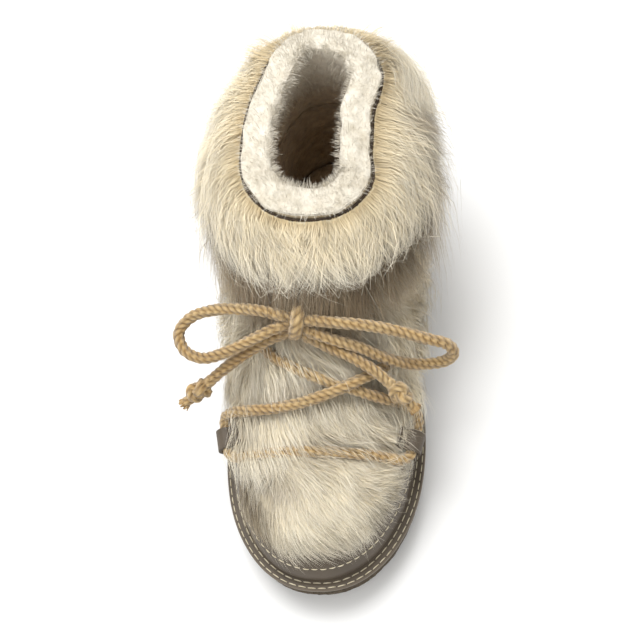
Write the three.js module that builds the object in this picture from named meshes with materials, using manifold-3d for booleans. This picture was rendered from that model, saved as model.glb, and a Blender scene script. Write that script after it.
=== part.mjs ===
// A right mukluk boot of ankle height: crepe outsole, stitched welt and leather rand, a hollow hide upper with a
// thick shearling lining, fur panels over it, a deep fur cuff, and a braided cord laced over the instep to a bow.
// Millimetres, +Z up, toe towards -Y, the wearer's inner (medial) side towards +X.
// Distances along the boot are counted back from the toe's tip, and levels climb the upper in steps of one
// section: 0 at the sole, 11 at the collar's edge, 12 at the top of the wool that stands out of it.

import * as THREE from "three";
import { mergeVertices } from "three/addons/utils/BufferGeometryUtils.js";
import Module from "manifold-3d";

const wasm = await Module();
wasm.setup();

// Main sizes
const SOLE_LENGTH = 284;
const BALL_WIDTH = 110;
const COLLAR_WIDTH = 68;
const INSTEP_HEIGHT = 88; // from the sole to the bend at the front of the ankle
const SHAFT_HEIGHT = 40; // from that bend to the collar's front edge
const HEEL_THICKNESS = 22;
const FOREFOOT_THICKNESS = 17;
const TOE_SPRING = 8;
const ARCH_RISE = 3;
const GAP = 0.3; // between pieces that touch
const LAYER_GAP = 0.6; // between curved layers, whose facets don't run quite parallel
const WOOL_GAP = 0.9; // between the hide and the soft lining

// Outsole
const LUG_DEPTH = 4;
const LUG_LENGTH = 8;
const LUG_PITCH = 14;
const LUG_MARGIN = 7;
const SOLE_INSET = 1.5; // the sole's side stands this far inside the welt's edge
const SOLE_BEVEL = 3;
const SOLE_STEP = 1.2;
const SOLE_LIP = 5;

// Welt and rand
const WELT_THICKNESS = 3;
const FEATHER_INSET = 9;
const RAND_THICKNESS = 1.6;
const RAND_LEVEL = 3;

// Upper, lining and insole
const UPPER_WALL = 2.5;
const FOOT_WOOL = 8;
const COLLAR_WOOL = 14;
const INSOLE_THICKNESS = 5;
const INSOLE_CLEARANCE = 0.6;
const BINDING_THICKNESS = 1.4;
const BINDING_BOTTOM_LEVEL = 10.5;

// Fur
const VAMP_FUR = 6.5;
const TONGUE_FUR = 5;
const QUARTER_FUR = 12;
const CUFF_FUR = 21;
const FUR_EDGE = 2;
const PILLOW_EDGE = 0.2; // the share of a panel over which its fur thins towards the edge
const LOCK_WIDTH = 15;

// Lace cord and the leather loops that it runs through
const CORD_DIAMETER = 6;
const CORD_SIDES = 8;
const CORD_STEP = 14;
const CORD_CLEARANCE = 0.8;
const LOOP_LEATHER = 1.6;
const LOOP_LENGTH = 11;
const LOOP_FLANGE = 4;
const LOOP_SEAT = 3; // the loop's flanges stand on the rand's upper edge
const LOOP_PLACE = { x: 42.6, distance: 74 };

const AROUND = 32; // points of a section
const RING_STEP = 1; // levels between two rings of points
const COLLAR_LEVEL = 11;
const TOP_LEVEL = 12;

// Sections of the upper's outer face in side view. front and back are the distances of a section's two ends from
// the sole's ends, as shares of the sole's length. The rises are shares of the instep's and the shaft's heights.
const SIDE_SECTIONS = [
  { level: 0, front: 0.0317, instep: 0, shaft: 0, back: 0.0317, heel: 0, quarter: 0 },
  { level: 1, front: 0.0264, instep: 0.1, shaft: 0, back: 0.0264, heel: 0.09, quarter: 0 },
  { level: 2, front: 0.037, instep: 0.2, shaft: 0, back: 0.0235, heel: 0.19, quarter: 0 },
  { level: 3, front: 0.08, instep: 0.33, shaft: 0, back: 0.0255, heel: 0.3, quarter: 0 },
  { level: 4, front: 0.1582, instep: 0.42, shaft: 0, back: 0.0303, heel: 0.41, quarter: 0 },
  { level: 5, front: 0.2463, instep: 0.5, shaft: 0, back: 0.0372, heel: 0.51, quarter: 0 },
  { level: 6, front: 0.3393, instep: 0.63, shaft: 0, back: 0.047, heel: 0.625, quarter: 0 },
  { level: 7, front: 0.4176, instep: 0.805, shaft: 0, back: 0.0587, heel: 0.77, quarter: 0 },
  { level: 8, front: 0.4792, instep: 1, shaft: 0, back: 0.0715, heel: 0.93, quarter: 0 },
  { level: 9, front: 0.5135, instep: 1, shaft: 0.42, back: 0.0832, heel: 0.93, quarter: 0.42 },
  { level: 10, front: 0.5272, instep: 1, shaft: 0.74, back: 0.092, heel: 0.93, quarter: 0.8 },
  { level: 11, front: 0.5302, instep: 1, shaft: 1, back: 0.0979, heel: 0.93, quarter: 1.25 },
  { level: 12, front: 0.5302, instep: 1, shaft: 1.12, back: 0.0979, heel: 0.93, quarter: 1.37 },
];

// The same sections seen from above. ball and collar are shares of those two half widths, the rounds are shares
// of the section's own length, and slack says how far the section has the collar's own slack outline.
const TOP_SECTIONS = [
  { level: 0, ball: 1, collar: 0, frontRound: 0.31, backRound: 0.16, power: 2.2, slack: 0 },
  { level: 1, ball: 1.03, collar: 0, frontRound: 0.31, backRound: 0.16, power: 2.2, slack: 0 },
  { level: 2, ball: 1.03, collar: 0, frontRound: 0.32, backRound: 0.17, power: 2.2, slack: 0 },
  { level: 3, ball: 1.01, collar: 0, frontRound: 0.33, backRound: 0.19, power: 2.15, slack: 0 },
  { level: 4, ball: 1, collar: 0, frontRound: 0.36, backRound: 0.21, power: 2.1, slack: 0 },
  { level: 5, ball: 0.99, collar: 0, frontRound: 0.4, backRound: 0.24, power: 2.05, slack: 0 },
  { level: 6, ball: 0.99, collar: 0, frontRound: 0.44, backRound: 0.29, power: 2, slack: 0 },
  { level: 7, ball: 0.98, collar: 0, frontRound: 0.48, backRound: 0.35, power: 2, slack: 0.05 },
  { level: 8, ball: 0.96, collar: 0, frontRound: 0.49, backRound: 0.41, power: 2, slack: 0.15 },
  { level: 9, ball: 0.62, collar: 0.4, frontRound: 0.47, backRound: 0.45, power: 2.1, slack: 0.4 },
  { level: 10, ball: 0.24, collar: 0.8, frontRound: 0.45, backRound: 0.48, power: 2.25, slack: 0.75 },
  { level: 11, ball: 0, collar: 1, frontRound: 0.44, backRound: 0.5, power: 2.4, slack: 1 },
  { level: 12, ball: 0, collar: 1, frontRound: 0.44, backRound: 0.5, power: 2.4, slack: 1 },
];

// Outlines seen from above, from the heel (0) to the toe (1), as shares of the half width on each side.
const FOOT_OUTLINE = [
  { at: 0, medial: 0.8, lateral: 0.8 },
  { at: 0.2, medial: 0.8, lateral: 0.81 },
  { at: 0.42, medial: 0.8, lateral: 0.88 },
  { at: 0.68, medial: 0.99, lateral: 1 },
  { at: 0.82, medial: 1, lateral: 1 },
  { at: 1, medial: 0.97, lateral: 0.97 },
];
const SLACK_OUTLINE = [
  { at: 0, medial: 1.08, lateral: 0.8 },
  { at: 0.22, medial: 1.05, lateral: 0.82 },
  { at: 0.5, medial: 0.84, lateral: 0.95 },
  { at: 0.66, medial: 0.84, lateral: 0.98 },
  { at: 0.84, medial: 1, lateral: 1.03 },
  { at: 1, medial: 1.02, lateral: 1 },
];

// The sole in side view, from the heel (0) to the toe (1): shares of the arch's rise, the toe spring and the
// difference between the heel's and the forefoot's thickness.
const SOLE_PROFILE = [
  { at: 0, arch: 0.6, spring: 0, wedge: 1 },
  { at: 0.06, arch: 0, spring: 0, wedge: 1 },
  { at: 0.32, arch: 0, spring: 0, wedge: 0.9 },
  { at: 0.37, arch: 1, spring: 0, wedge: 0.7 },
  { at: 0.43, arch: 1, spring: 0, wedge: 0.45 },
  { at: 0.48, arch: 0, spring: 0, wedge: 0.25 },
  { at: 0.65, arch: 0, spring: 0, wedge: 0 },
  { at: 0.78, arch: 0, spring: 0, wedge: 0 },
  { at: 0.9, arch: 0, spring: 0.35, wedge: 0 },
  { at: 1, arch: 0, spring: 1, wedge: 0 },
];

const mix = THREE.MathUtils.lerp;
const degrees = THREE.MathUtils.degToRad;

// A smooth curve through a table's column that never overshoots, so flat stretches stay flat.
function column(rows, along, key) {
  const x = rows.map((row) => row[along]);
  const y = rows.map((row) => row[key]);
  const steps = x.slice(1).map((end, i) => (y[i + 1] - y[i]) / (end - x[i]));
  const slopes = x.map((_, i) => {
    const before = steps[Math.max(i - 1, 0)];
    const after = steps[Math.min(i, steps.length - 1)];
    return before * after <= 0 ? 0 : (2 * before * after) / (before + after);
  });
  return (at) => {
    const where = THREE.MathUtils.clamp(at, x[0], x[x.length - 1]);
    let i = 0;
    while (i < x.length - 2 && where > x[i + 1]) i += 1;
    const width = x[i + 1] - x[i];
    const t = (where - x[i]) / width;
    const rest = 1 - t;
    return (
      y[i] * rest * rest * (1 + 2 * t) +
      y[i + 1] * t * t * (3 - 2 * t) +
      slopes[i] * width * t * rest * rest -
      slopes[i + 1] * width * t * t * rest
    );
  };
}

const columns = (rows, along) =>
  Object.fromEntries(
    Object.keys(rows[0]).filter((key) => key !== along).map((key) => [key, column(rows, along, key)]),
  );
const section = { ...columns(SIDE_SECTIONS, "level"), ...columns(TOP_SECTIONS, "level") };
const foot = columns(FOOT_OUTLINE, "at");
const slackEdge = columns(SLACK_OUTLINE, "at");
const profile = columns(SOLE_PROFILE, "at");

// y at a distance behind the toe's tip.
const yBehindToe = (distance) => distance - SOLE_LENGTH / 2;
const shareFromHeel = (y) => 0.5 - y / SOLE_LENGTH;

function soleBottom(y) {
  const at = shareFromHeel(y);
  return profile.arch(at) * ARCH_RISE + profile.spring(at) * TOE_SPRING;
}

function soleTop(y) {
  const at = shareFromHeel(y);
  const thickness = mix(FOREFOOT_THICKNESS, HEEL_THICKNESS, profile.wedge(at));
  return thickness + profile.spring(at) * TOE_SPRING;
}

// How far a rounded end has opened at a distance from its tip: 0 at the tip, 1 once the round is over.
function roundEnd(fromTip, length, power) {
  const left = THREE.MathUtils.clamp(1 - fromTip / length, 0, 1);
  return (1 - left ** power) ** (1 / power);
}

// The sole's outline, moved inwards by inset. angle is 0 at the heel and 180 degrees at the toe, medial first.
function outline(angle, inset) {
  const along = (1 - Math.cos(angle)) / 2;
  const low = section.frontRound(0);
  const round =
    roundEnd(1 - along, low, section.power(0)) * roundEnd(along, section.backRound(0), section.power(0));
  const side = Math.sin(angle) >= 0 ? "medial" : "lateral";
  const half = (BALL_WIDTH / 2 - inset) * foot[side](along) * round;
  const y = (0.5 - along) * (SOLE_LENGTH - 2 * inset);
  return new THREE.Vector2(side === "medial" ? half : -half, y);
}

// A point of the upper's outer face.
function skin(angle, level) {
  const along = (1 - Math.cos(angle)) / 2;
  const front = yBehindToe(section.front(level) * SOLE_LENGTH);
  const back = yBehindToe((1 - section.back(level)) * SOLE_LENGTH);
  const y = mix(back, front, along);
  const frontRise = section.instep(level) * INSTEP_HEIGHT + section.shaft(level) * SHAFT_HEIGHT;
  const backRise = section.heel(level) * INSTEP_HEIGHT + section.quarter(level) * SHAFT_HEIGHT;
  const power = section.power(level);
  const round =
    roundEnd(1 - along, section.frontRound(level), power) * roundEnd(along, section.backRound(level), power);
  const side = Math.sin(angle) >= 0 ? "medial" : "lateral";
  const edge = mix(foot[side](along), slackEdge[side](along), section.slack(level));
  const half =
    section.ball(level) * (BALL_WIDTH / 2 - FEATHER_INSET) + (section.collar(level) * COLLAR_WIDTH) / 2;
  const x = half * edge * round * (side === "medial" ? 1 : -1);
  return new THREE.Vector3(x, y, soleTop(y) + GAP + mix(backRise, frontRise, along));
}

const ANGLE_STEP = 0.06;
const LEVEL_STEP = 0.12;
const UPRIGHT_BELOW = 1.5; // the level under which layers turn upright towards the sole
const UPRIGHT_ABOVE = 10; // the level over which they turn upright towards the collar's edge

// The two directions along the upper's face at a point, around it and up it, and the one out of it, which turns
// level at the sole and at the collar's edge so that every layer ends flat there.
function skinAxes(angle, level) {
  const low = Math.max(level - LEVEL_STEP, 0);
  const high = Math.min(level + LEVEL_STEP, TOP_LEVEL);
  const around = skin(angle + ANGLE_STEP, level).sub(skin(angle - ANGLE_STEP, level)).normalize();
  const up = skin(angle, high).sub(skin(angle, low)).normalize();
  const out = new THREE.Vector3().crossVectors(up, around).normalize();
  out.z *= THREE.MathUtils.smoothstep(level, 0, UPRIGHT_BELOW);
  out.z *= 1 - THREE.MathUtils.smoothstep(level, UPRIGHT_ABOVE, COLLAR_LEVEL);
  return { around, up, out: out.normalize() };
}

// A point that stands off the upper's face by a distance, along the face's own normal. Near the sole it also
// follows the sole's slope.
function off(angle, level, lift) {
  const base = skin(angle, level);
  const point = base.clone().addScaledVector(skinAxes(angle, level).out, lift);
  point.z += (1 - THREE.MathUtils.smoothstep(level, 0, 2)) * (soleTop(point.y) - soleTop(base.y));
  return point;
}

// Where below() looks: its range of angles and levels, and how fine its last step is.
const SEARCH = { fromTurn: 95, toTurn: 265, turnStep: 5, fromLevel: 2.5, toLevel: 10, levelStep: 0.25 };
const SEARCH_FINEST = 0.002;

// The angle and level of the upper's face seen from above at x and at a distance behind the toe.
function below(x, distance) {
  const y = yBehindToe(distance);
  let best = { angle: Math.PI, level: SEARCH.fromLevel, error: Infinity };
  const look = (angle, level) => {
    const point = skin(angle, level);
    const error = Math.hypot(point.x - x, point.y - y);
    if (error < best.error) best = { angle, level, error };
  };
  for (let turn = SEARCH.fromTurn; turn <= SEARCH.toTurn; turn += SEARCH.turnStep)
    for (let level = SEARCH.fromLevel; level <= SEARCH.toLevel; level += SEARCH.levelStep)
      look(degrees(turn), level);
  for (let reach = 2 * SEARCH.levelStep; reach > SEARCH_FINEST; reach /= 2) {
    const { angle, level } = best;
    for (const da of [-1, 0, 1])
      for (const dl of [-1, 0, 1])
        look(angle + (da * reach) / 10, level + dl * reach);
  }
  return best;
}

// A closed solid from its points and its faces, each a list of 3 or 4 corners, counter-clockwise from outside.
function solid(points, faces) {
  const triangles = [];
  for (const [a, b, c, d] of faces) {
    triangles.push(a, b, c);
    if (d !== undefined) triangles.push(a, c, d);
  }
  return new wasm.Manifold(
    new wasm.Mesh({
      numProp: 3,
      vertProperties: new Float32Array(points.flatMap((point) => point.toArray())),
      triVerts: new Uint32Array(triangles),
    }),
  );
}

// A closed solid from a three.js geometry.
function solidOf(geometry) {
  const bare = geometry.clone();
  bare.deleteAttribute("normal");
  bare.deleteAttribute("uv");
  const merged = mergeVertices(bare, 1e-3);
  return new wasm.Manifold(
    new wasm.Mesh({
      numProp: 3,
      vertProperties: merged.attributes.position.array,
      triVerts: new Uint32Array(merged.index.array),
    }),
  );
}

const angles = Array.from({ length: AROUND }, (_, i) => (2 * Math.PI * i) / AROUND);

// Rings of points stacked from the bottom up, and closed across by rungs from side to side.
function loft(rings) {
  const points = rings.flatMap((ring) => angles.map(ring));
  const faces = [];
  for (let k = 0; k < rings.length - 1; k += 1)
    for (let i = 0; i < AROUND; i += 1) {
      const next = (i + 1) % AROUND;
      faces.push([k * AROUND + i, (k + 1) * AROUND + i, (k + 1) * AROUND + next, k * AROUND + next]);
    }
  const top = (rings.length - 1) * AROUND;
  for (let i = 0; i < AROUND / 2; i += 1) {
    const other = (AROUND - i) % AROUND;
    const rung = i === 0 ? [0, 1, AROUND - 1] : [i, i + 1, AROUND - i - 1, other];
    const corners = i === AROUND / 2 - 1 ? [i, AROUND / 2, other] : rung;
    faces.push(corners);
    faces.push([...corners].reverse().map((corner) => top + corner));
  }
  return solid(points, faces);
}

// A closed belt: rings of points that go once around its own section, outer face first from the bottom up.
function belt(rings) {
  const points = rings.flatMap((ring) => angles.map(ring));
  const faces = [];
  for (let k = 0; k < rings.length; k += 1)
    for (let i = 0; i < AROUND; i += 1) {
      const next = (i + 1) % AROUND;
      const above = ((k + 1) % rings.length) * AROUND;
      faces.push([k * AROUND + i, above + i, above + next, k * AROUND + next]);
    }
  return solid(points, faces);
}

// The levels of a layer's rings: its two ends, and the shared levels between them, so that layers lie parallel.
function ringLevels(bottom, top) {
  const shared = [COLLAR_LEVEL];
  for (let level = 0; level < COLLAR_LEVEL - RING_STEP / 4; level += RING_STEP) shared.push(level);
  const inside = shared.filter((level) => level > bottom && level < top).sort((a, b) => a - b);
  return [bottom, ...inside, top];
}

// A hollow wall around the boot between two levels, with its outer and inner faces at their lifts off the skin.
function wall(bottom, top, outer, inner) {
  const levels = ringLevels(bottom, top);
  const face = (level, lift) => (angle) => off(angle, level, lift(level));
  return belt([
    ...levels.map((level) => face(level, outer)),
    ...levels.toReversed().map((level) => face(level, inner)),
  ]);
}

// The whole boot's form up to a level, at a lift off the skin, which cuts what lies over it to fit.
function form(top, lift) {
  return loft(ringLevels(0, top).map((level) => (angle) => off(angle, level, lift)));
}

// A panel over part of the upper: place gives the angle and level at a share across and a share up, and the
// lifts are those of its two faces.
function panel(across, up, place, inner, outer) {
  const points = [];
  for (const lift of [inner, outer])
    for (let b = 0; b <= up; b += 1)
      for (let a = 0; a <= across; a += 1) {
        const { angle, level } = place(a / across, b / up);
        points.push(off(angle, level, lift(a / across, b / up)));
      }
  const row = across + 1;
  const sheet = row * (up + 1);
  const faces = [];
  for (let b = 0; b < up; b += 1)
    for (let a = 0; a < across; a += 1) {
      const low = b * row + a;
      faces.push([low, low + 1, low + row + 1, low + row]);
      faces.push([sheet + low, sheet + low + row, sheet + low + row + 1, sheet + low + 1]);
    }
  for (let a = 0; a < across; a += 1) {
    const high = up * row + a;
    faces.push([a, sheet + a, sheet + a + 1, a + 1]);
    faces.push([high, high + 1, sheet + high + 1, sheet + high]);
  }
  for (let b = 0; b < up; b += 1) {
    const left = b * row;
    const right = left + across;
    faces.push([left, left + row, sheet + left + row, sheet + left]);
    faces.push([right, sheet + right, sheet + right + row, right + row]);
  }
  return solid(points, faces);
}

// Cords

const cordCircle = (radius) =>
  new THREE.Shape(
    Array.from({ length: CORD_SIDES }, (_, i) => {
      const turn = (2 * Math.PI * i) / CORD_SIDES;
      return new THREE.Vector2(radius * Math.cos(turn), radius * Math.sin(turn));
    }),
  );

function cordAlong(points, radius = CORD_DIAMETER / 2) {
  const path = new THREE.CatmullRomCurve3(points, false, "centripetal");
  const steps = Math.max(3, Math.round(path.getLength() / CORD_STEP));
  return solidOf(
    new THREE.ExtrudeGeometry(cordCircle(radius), { steps, bevelEnabled: false, extrudePath: path }),
  );
}

const at = (x, distance, z) => new THREE.Vector3(x, yBehindToe(distance), z);

// The lace over the instep, as x, distance behind the toe and height. It runs from under the lateral fur over the
// instep to the medial loop, across the foot of the instep to the lateral loop, and back up over itself.
const MEDIAL_CROSSING = [
  at(-31, 116, 79), at(-20, 105, 84), at(-2.4, 96.5, 83), at(7, 93.5, 81), at(20, 91, 77), at(34, 89.5, 69.5),
  at(44, 90.5, 60), at(50.7, 87, 52), at(50.6, 80.5, 50.3), at(48.9, 72.7, 50.3), at(47.4, 66.5, 50.5),
  at(42.5, 63, 52.2), at(36, 62.8, 55.4),
];
const BAR = [
  at(42.5, 63, 52.2), at(36, 62.8, 55.4), at(23, 62.8, 60.5), at(8, 62.8, 62.7), at(-8, 62.8, 62.7),
  at(-23, 62.8, 60.5), at(-36, 62.8, 55.4), at(-42.5, 63, 52.2),
];
const LATERAL_CROSSING = [
  at(-36, 62.8, 55.4), at(-42.5, 63, 52.2), at(-47.4, 66.5, 50.5), at(-48.9, 72.7, 50.3), at(-50.6, 80.5, 50.3),
  at(-50.3, 85, 52.5), at(-44, 85, 60.5), at(-34, 83, 67.5), at(-22, 82.5, 72), at(-8, 84, 76),
  at(6, 87, 80.5), at(18, 91.5, 83), at(29, 99, 79.5), at(39, 110, 70),
];

// The cord around the ankle, under the cuff, from one side of the bow's knot to the other.
const WRAP = [
  at(-12.8, 123, 103.8), at(-21, 135, 106), at(-32.5, 149, 107.5), at(-41.8, 165, 107.5), at(-46.3, 184.5, 107),
  at(-44, 204, 106), at(-40, 223.5, 106), at(-34, 241, 105.5), at(-25, 255, 105.3), at(-13.5, 264.3, 105.2),
  at(0, 267.5, 105.1), at(13.5, 264.3, 105.2), at(26, 255.2, 105.2), at(35, 241, 105.2), at(39.6, 223.5, 105.6),
  at(40.4, 204, 106), at(44.5, 184.5, 107), at(41.5, 165, 107.5), at(32.5, 149, 107.5), at(19, 134, 106),
  at(4, 124, 104.7), at(-2.4, 121.6, 104.3),
];

// The bow: its knot, its two loops, its two ends and the knots tied in them.
const KNOT = at(-8.2, 115.7, 105);
const LATERAL_LOOP = [
  at(-15.5, 116.2, 110.5), at(-23, 118.2, 111), at(-35.5, 120.8, 108.5), at(-50.5, 122.5, 104),
  at(-63.5, 121, 98.5), at(-70, 114.5, 94), at(-67, 106.5, 90.5), at(-57.5, 102, 90.5), at(-45.5, 103, 94.5),
  at(-32.5, 106.5, 100.5), at(-22, 110, 105), at(-15.8, 112.5, 106),
];
const MEDIAL_LOOP = [
  at(-0.6, 114, 109.5), at(13.5, 112.5, 110), at(28, 112, 108), at(43, 111, 103.5), at(57.5, 109.5, 98),
  at(66, 109, 94), at(69.5, 108, 86.5), at(66, 107, 79), at(57.5, 106.5, 75.5), at(47.5, 105, 78.5),
  at(36, 104, 87), at(22.5, 105.8, 96.5), at(8, 108, 102), at(-0.8, 110.5, 103.5),
];
const LATERAL_END = [
  at(-14.4, 112, 99.5), at(-24, 109.5, 95.5), at(-36.5, 104.5, 89), at(-48.5, 99, 81.5), at(-56.4, 94.8, 75.7),
];
const MEDIAL_END = [
  at(-3.1, 110.8, 98), at(7, 106.5, 95.5), at(19, 102, 92.8), at(30, 97, 88), at(38.2, 92.2, 82.3),
];
const LATERAL_STOP = at(-61.3, 91.9, 72.3);
const MEDIAL_STOP = at(42.6, 89, 78.1);
const KNOT_SIZE = new THREE.Vector3(15.2, 13, 17);
const STOP_SIZE = 13;
const STOP_TAIL = 8;
const TAIL_SHARE = 0.85; // the frayed tail's width, as a share of the cord's

function laceCrossings() {
  return cordAlong(MEDIAL_CROSSING).add(cordAlong(BAR)).add(cordAlong(LATERAL_CROSSING));
}

// The bow's knot: a strand tied tightly round the middle of the bow.
function bowKnot() {
  const core = new THREE.SphereGeometry(0.5, 12, 8);
  core.scale(KNOT_SIZE.x, KNOT_SIZE.y, KNOT_SIZE.z).translate(KNOT.x, KNOT.y, KNOT.z);
  return solidOf(core);
}

// The knot tied in an end of the cord, with the cord's cut tail beyond it.
function stopKnot(centre, from) {
  const along = centre.clone().sub(from).normalize();
  const knot = new THREE.IcosahedronGeometry(STOP_SIZE / 2, 1);
  knot.translate(centre.x, centre.y, centre.z);
  const reach = STOP_SIZE / 2 + STOP_TAIL;
  const tail = [0, 0.5, 1].map((share) => centre.clone().addScaledVector(along, share * reach));
  return solidOf(knot).add(cordAlong(tail, (CORD_DIAMETER / 2) * TAIL_SHARE));
}

// Outsole: a plate with a bevelled foot, a step under the welt, and bars across its tread.
function outsole() {
  const ring = (inset, height) => (angle) => {
    const { x, y } = outline(angle, inset);
    return new THREE.Vector3(x, y, height(y));
  };
  const under = (y) => soleBottom(y) + LUG_DEPTH;
  const plate = loft([
    ring(SOLE_INSET + SOLE_BEVEL, under),
    ring(SOLE_INSET, (y) => under(y) + SOLE_BEVEL),
    ring(SOLE_INSET, (y) => soleTop(y) - SOLE_LIP),
    ring(SOLE_INSET + SOLE_STEP, (y) => soleTop(y) - SOLE_LIP + SOLE_STEP),
    ring(SOLE_INSET + SOLE_STEP, soleTop),
  ]);
  const reach = loft([ring(LUG_MARGIN, () => 0), ring(LUG_MARGIN, () => HEEL_THICKNESS)]);
  const each = Math.floor((SOLE_LENGTH / 2 - LUG_MARGIN - LUG_LENGTH / 2) / LUG_PITCH);
  const bars = [];
  for (let i = -each; i <= each; i += 1) {
    const y = i * LUG_PITCH;
    const slope = Math.atan2(soleBottom(y + 1) - soleBottom(y - 1), 2);
    const bar = new THREE.BoxGeometry(BALL_WIDTH, LUG_LENGTH, 2 * LUG_DEPTH);
    bar.translate(0, 0, LUG_DEPTH);
    bar.rotateX(slope).translate(0, y, soleBottom(y));
    if (profile.arch(shareFromHeel(y)) < 0.5) bars.push(solidOf(bar).intersect(reach));
  }
  return bars.reduce((sum, bar) => sum.add(bar), plate);
}

// Welt: a stitched strip on the sole's edge, outside the foot of the rand.
function welt() {
  const lift = LAYER_GAP + RAND_THICKNESS + LAYER_GAP;
  const outer = (height) => (angle) => {
    const { x, y } = outline(angle, 0);
    return new THREE.Vector3(x, y, soleTop(y) + height);
  };
  const topLevel = (GAP + WELT_THICKNESS) / (section.instep(1) * INSTEP_HEIGHT);
  const inner = (height) => (angle) => {
    const { x, y } = off(angle, topLevel, lift);
    return new THREE.Vector3(x, y, soleTop(y) + height);
  };
  return belt([outer(GAP), outer(GAP + WELT_THICKNESS), inner(GAP + WELT_THICKNESS), inner(GAP)]);
}

// Rand: the leather band around the foot, from the sole up to the edge of the fur.
function rand() {
  const outer = () => LAYER_GAP + RAND_THICKNESS;
  const inner = () => LAYER_GAP;
  return wall(0, RAND_LEVEL, outer, inner);
}

function upper() {
  return wall(0, COLLAR_LEVEL, () => 0, () => -UPPER_WALL);
}

const WOOL_SWELLS_FROM = 7;
const RIM_FROM = 10.7;
const RIM_TO = 12.2;
const RIM_PINCH = 0.35; // how far each face of the wool draws in at its top, as a share of its thickness

// Lining: sheared wool, thin in the foot and thick at the collar, where it stands out as a soft rim.
function lining() {
  const back = -UPPER_WALL - WOOL_GAP;
  const swell = (level) => THREE.MathUtils.smoothstep(level, WOOL_SWELLS_FROM, COLLAR_LEVEL);
  const wool = (level) => mix(FOOT_WOOL, COLLAR_WOOL, swell(level));
  const pinch = (level) => THREE.MathUtils.smoothstep(level, RIM_FROM, RIM_TO) * COLLAR_WOOL * RIM_PINCH;
  const outer = (level) => back - pinch(level);
  const inner = (level) => back - wool(level) + pinch(level);
  return wall(0, TOP_LEVEL, outer, inner);
}

function insole() {
  const lift = -UPPER_WALL - WOOL_GAP - FOOT_WOOL - INSOLE_CLEARANCE;
  const ring = (height) => (angle) => {
    const { x, y } = off(angle, 0, lift);
    return new THREE.Vector3(x, y, soleTop(y) + height);
  };
  return loft([ring(GAP), ring(GAP + INSOLE_THICKNESS)]);
}

function binding() {
  return wall(BINDING_BOTTOM_LEVEL, COLLAR_LEVEL, () => LAYER_GAP + BINDING_THICKNESS, () => LAYER_GAP);
}

// Where the fur panels end, as angles in degrees from the heel and as levels.
const FUR_BOTTOM = RAND_LEVEL + 0.12;
const QUARTER_TOP = 7.5;
const QUARTER_BACK = 1.2;
const QUARTER_FRONT = [112, 147];
const CUFF_BOTTOM = 8.7;
const CUFF_TOP = BINDING_BOTTOM_LEVEL - 0.12;
const VAMP_CORNER = 143;
const VAMP_BACK = { x: 35, distance: 56 };
const TONGUE_FRONT = { x: 36, distance: 69 };
const TONGUE_TOP = { angle: 153, level: 7.4 };

// How thick the cuff's fur is from its lower edge (0) to its upper one (1), as shares of its full depth.
const CUFF_PROFILE = [
  { at: 0, depth: 0.78 },
  { at: 0.35, depth: 1 },
  { at: 0.7, depth: 0.9 },
  { at: 0.9, depth: 0.6 },
  { at: 1, depth: 0.3 },
];

// A panel's fur is thin at its edges and full in its middle.
const pillow = (full) => (a, b) => {
  const rise = (share) => Math.min(1, Math.min(share, 1 - share) / PILLOW_EDGE);
  return FUR_EDGE + (full - FUR_EDGE) * Math.sqrt(rise(a) * rise(b));
};

// A lock's form, as shares of its half width, and how much the locks of a row differ, as shares of their sizes.
const LOCK_FORM = { taper: 0.2, ridge: 0.7, lean: 0.3 };
const LOCK_VARIES = { place: 0.2, width: 0.2, length: 0.25, rise: 0.3, level: 0.06 };

// Rows of locks on each panel, with how many, between which angles in degrees and how many levels above the
// panel's lower edge. length, lift and the tip's rise over the lift are shares of the panel's depth of fur.
const VAMP_LOCKS = [
  { count: 8, from: 148, to: 212, above: 0.35, length: 1.7, lift: 0.54, rise: 0.08 },
  { count: 5, from: 154, to: 206, above: 0.9, length: 2, lift: 0.77, rise: 0.38 },
];
const QUARTER_LOCKS = [
  { count: 7, from: 8, to: 110, above: 0.8, length: 1.42, lift: 0.375, rise: 0.125 },
  { count: 6, from: 12, to: 116, above: 2.2, length: 1.67, lift: 0.55, rise: 0.42 },
  { count: 4, from: 15, to: 124, above: 3.5, length: 1.5, lift: 0.55, rise: 0.42 },
];
const CUFF_LOCKS = [
  { count: 18, from: 0, to: 360, above: 0.3, length: 0.95, lift: 0.55, rise: 0.14 },
  { count: 12, from: 5, to: 365, above: 0.9, length: 0.95, lift: 0.75, rise: 0.24 },
];

// One lock of fur: a tapering tuft that leaves the fur's body and lies down the boot, its tip standing free.
function lock(angle, level, { length, width, lift, rise }) {
  const { up } = skinAxes(angle, level);
  const drop = length / skin(angle, level).distanceTo(skin(angle, level - 1));
  const spine = [0, 0.5].map((share) => ({
    centre: off(angle, level - drop * share, lift + rise * share),
    half: (width / 2) * (1 - LOCK_FORM.taper * share),
    axes: skinAxes(angle, level - drop * share),
  }));
  const ridge = ({ centre, half, axes }) =>
    centre.clone().addScaledVector(axes.out, half * LOCK_FORM.ridge).addScaledVector(up, half * LOCK_FORM.lean);
  const points = spine.flatMap(({ centre, half, axes }) => [
    centre.clone().addScaledVector(axes.around, -half),
    ridge({ centre, half, axes }),
    centre.clone().addScaledVector(axes.around, half),
  ]);
  points.push(off(angle, level - drop, lift + rise));
  const sides = [0, 1, 2].map((i) => [i, (i + 1) % 3, 3 + ((i + 1) % 3), 3 + i]);
  const ends = [0, 1, 2].map((i) => [3 + i, 3 + ((i + 1) % 3), 6]);
  return solid(points, [[2, 1, 0], ...sides, ...ends]);
}

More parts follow.
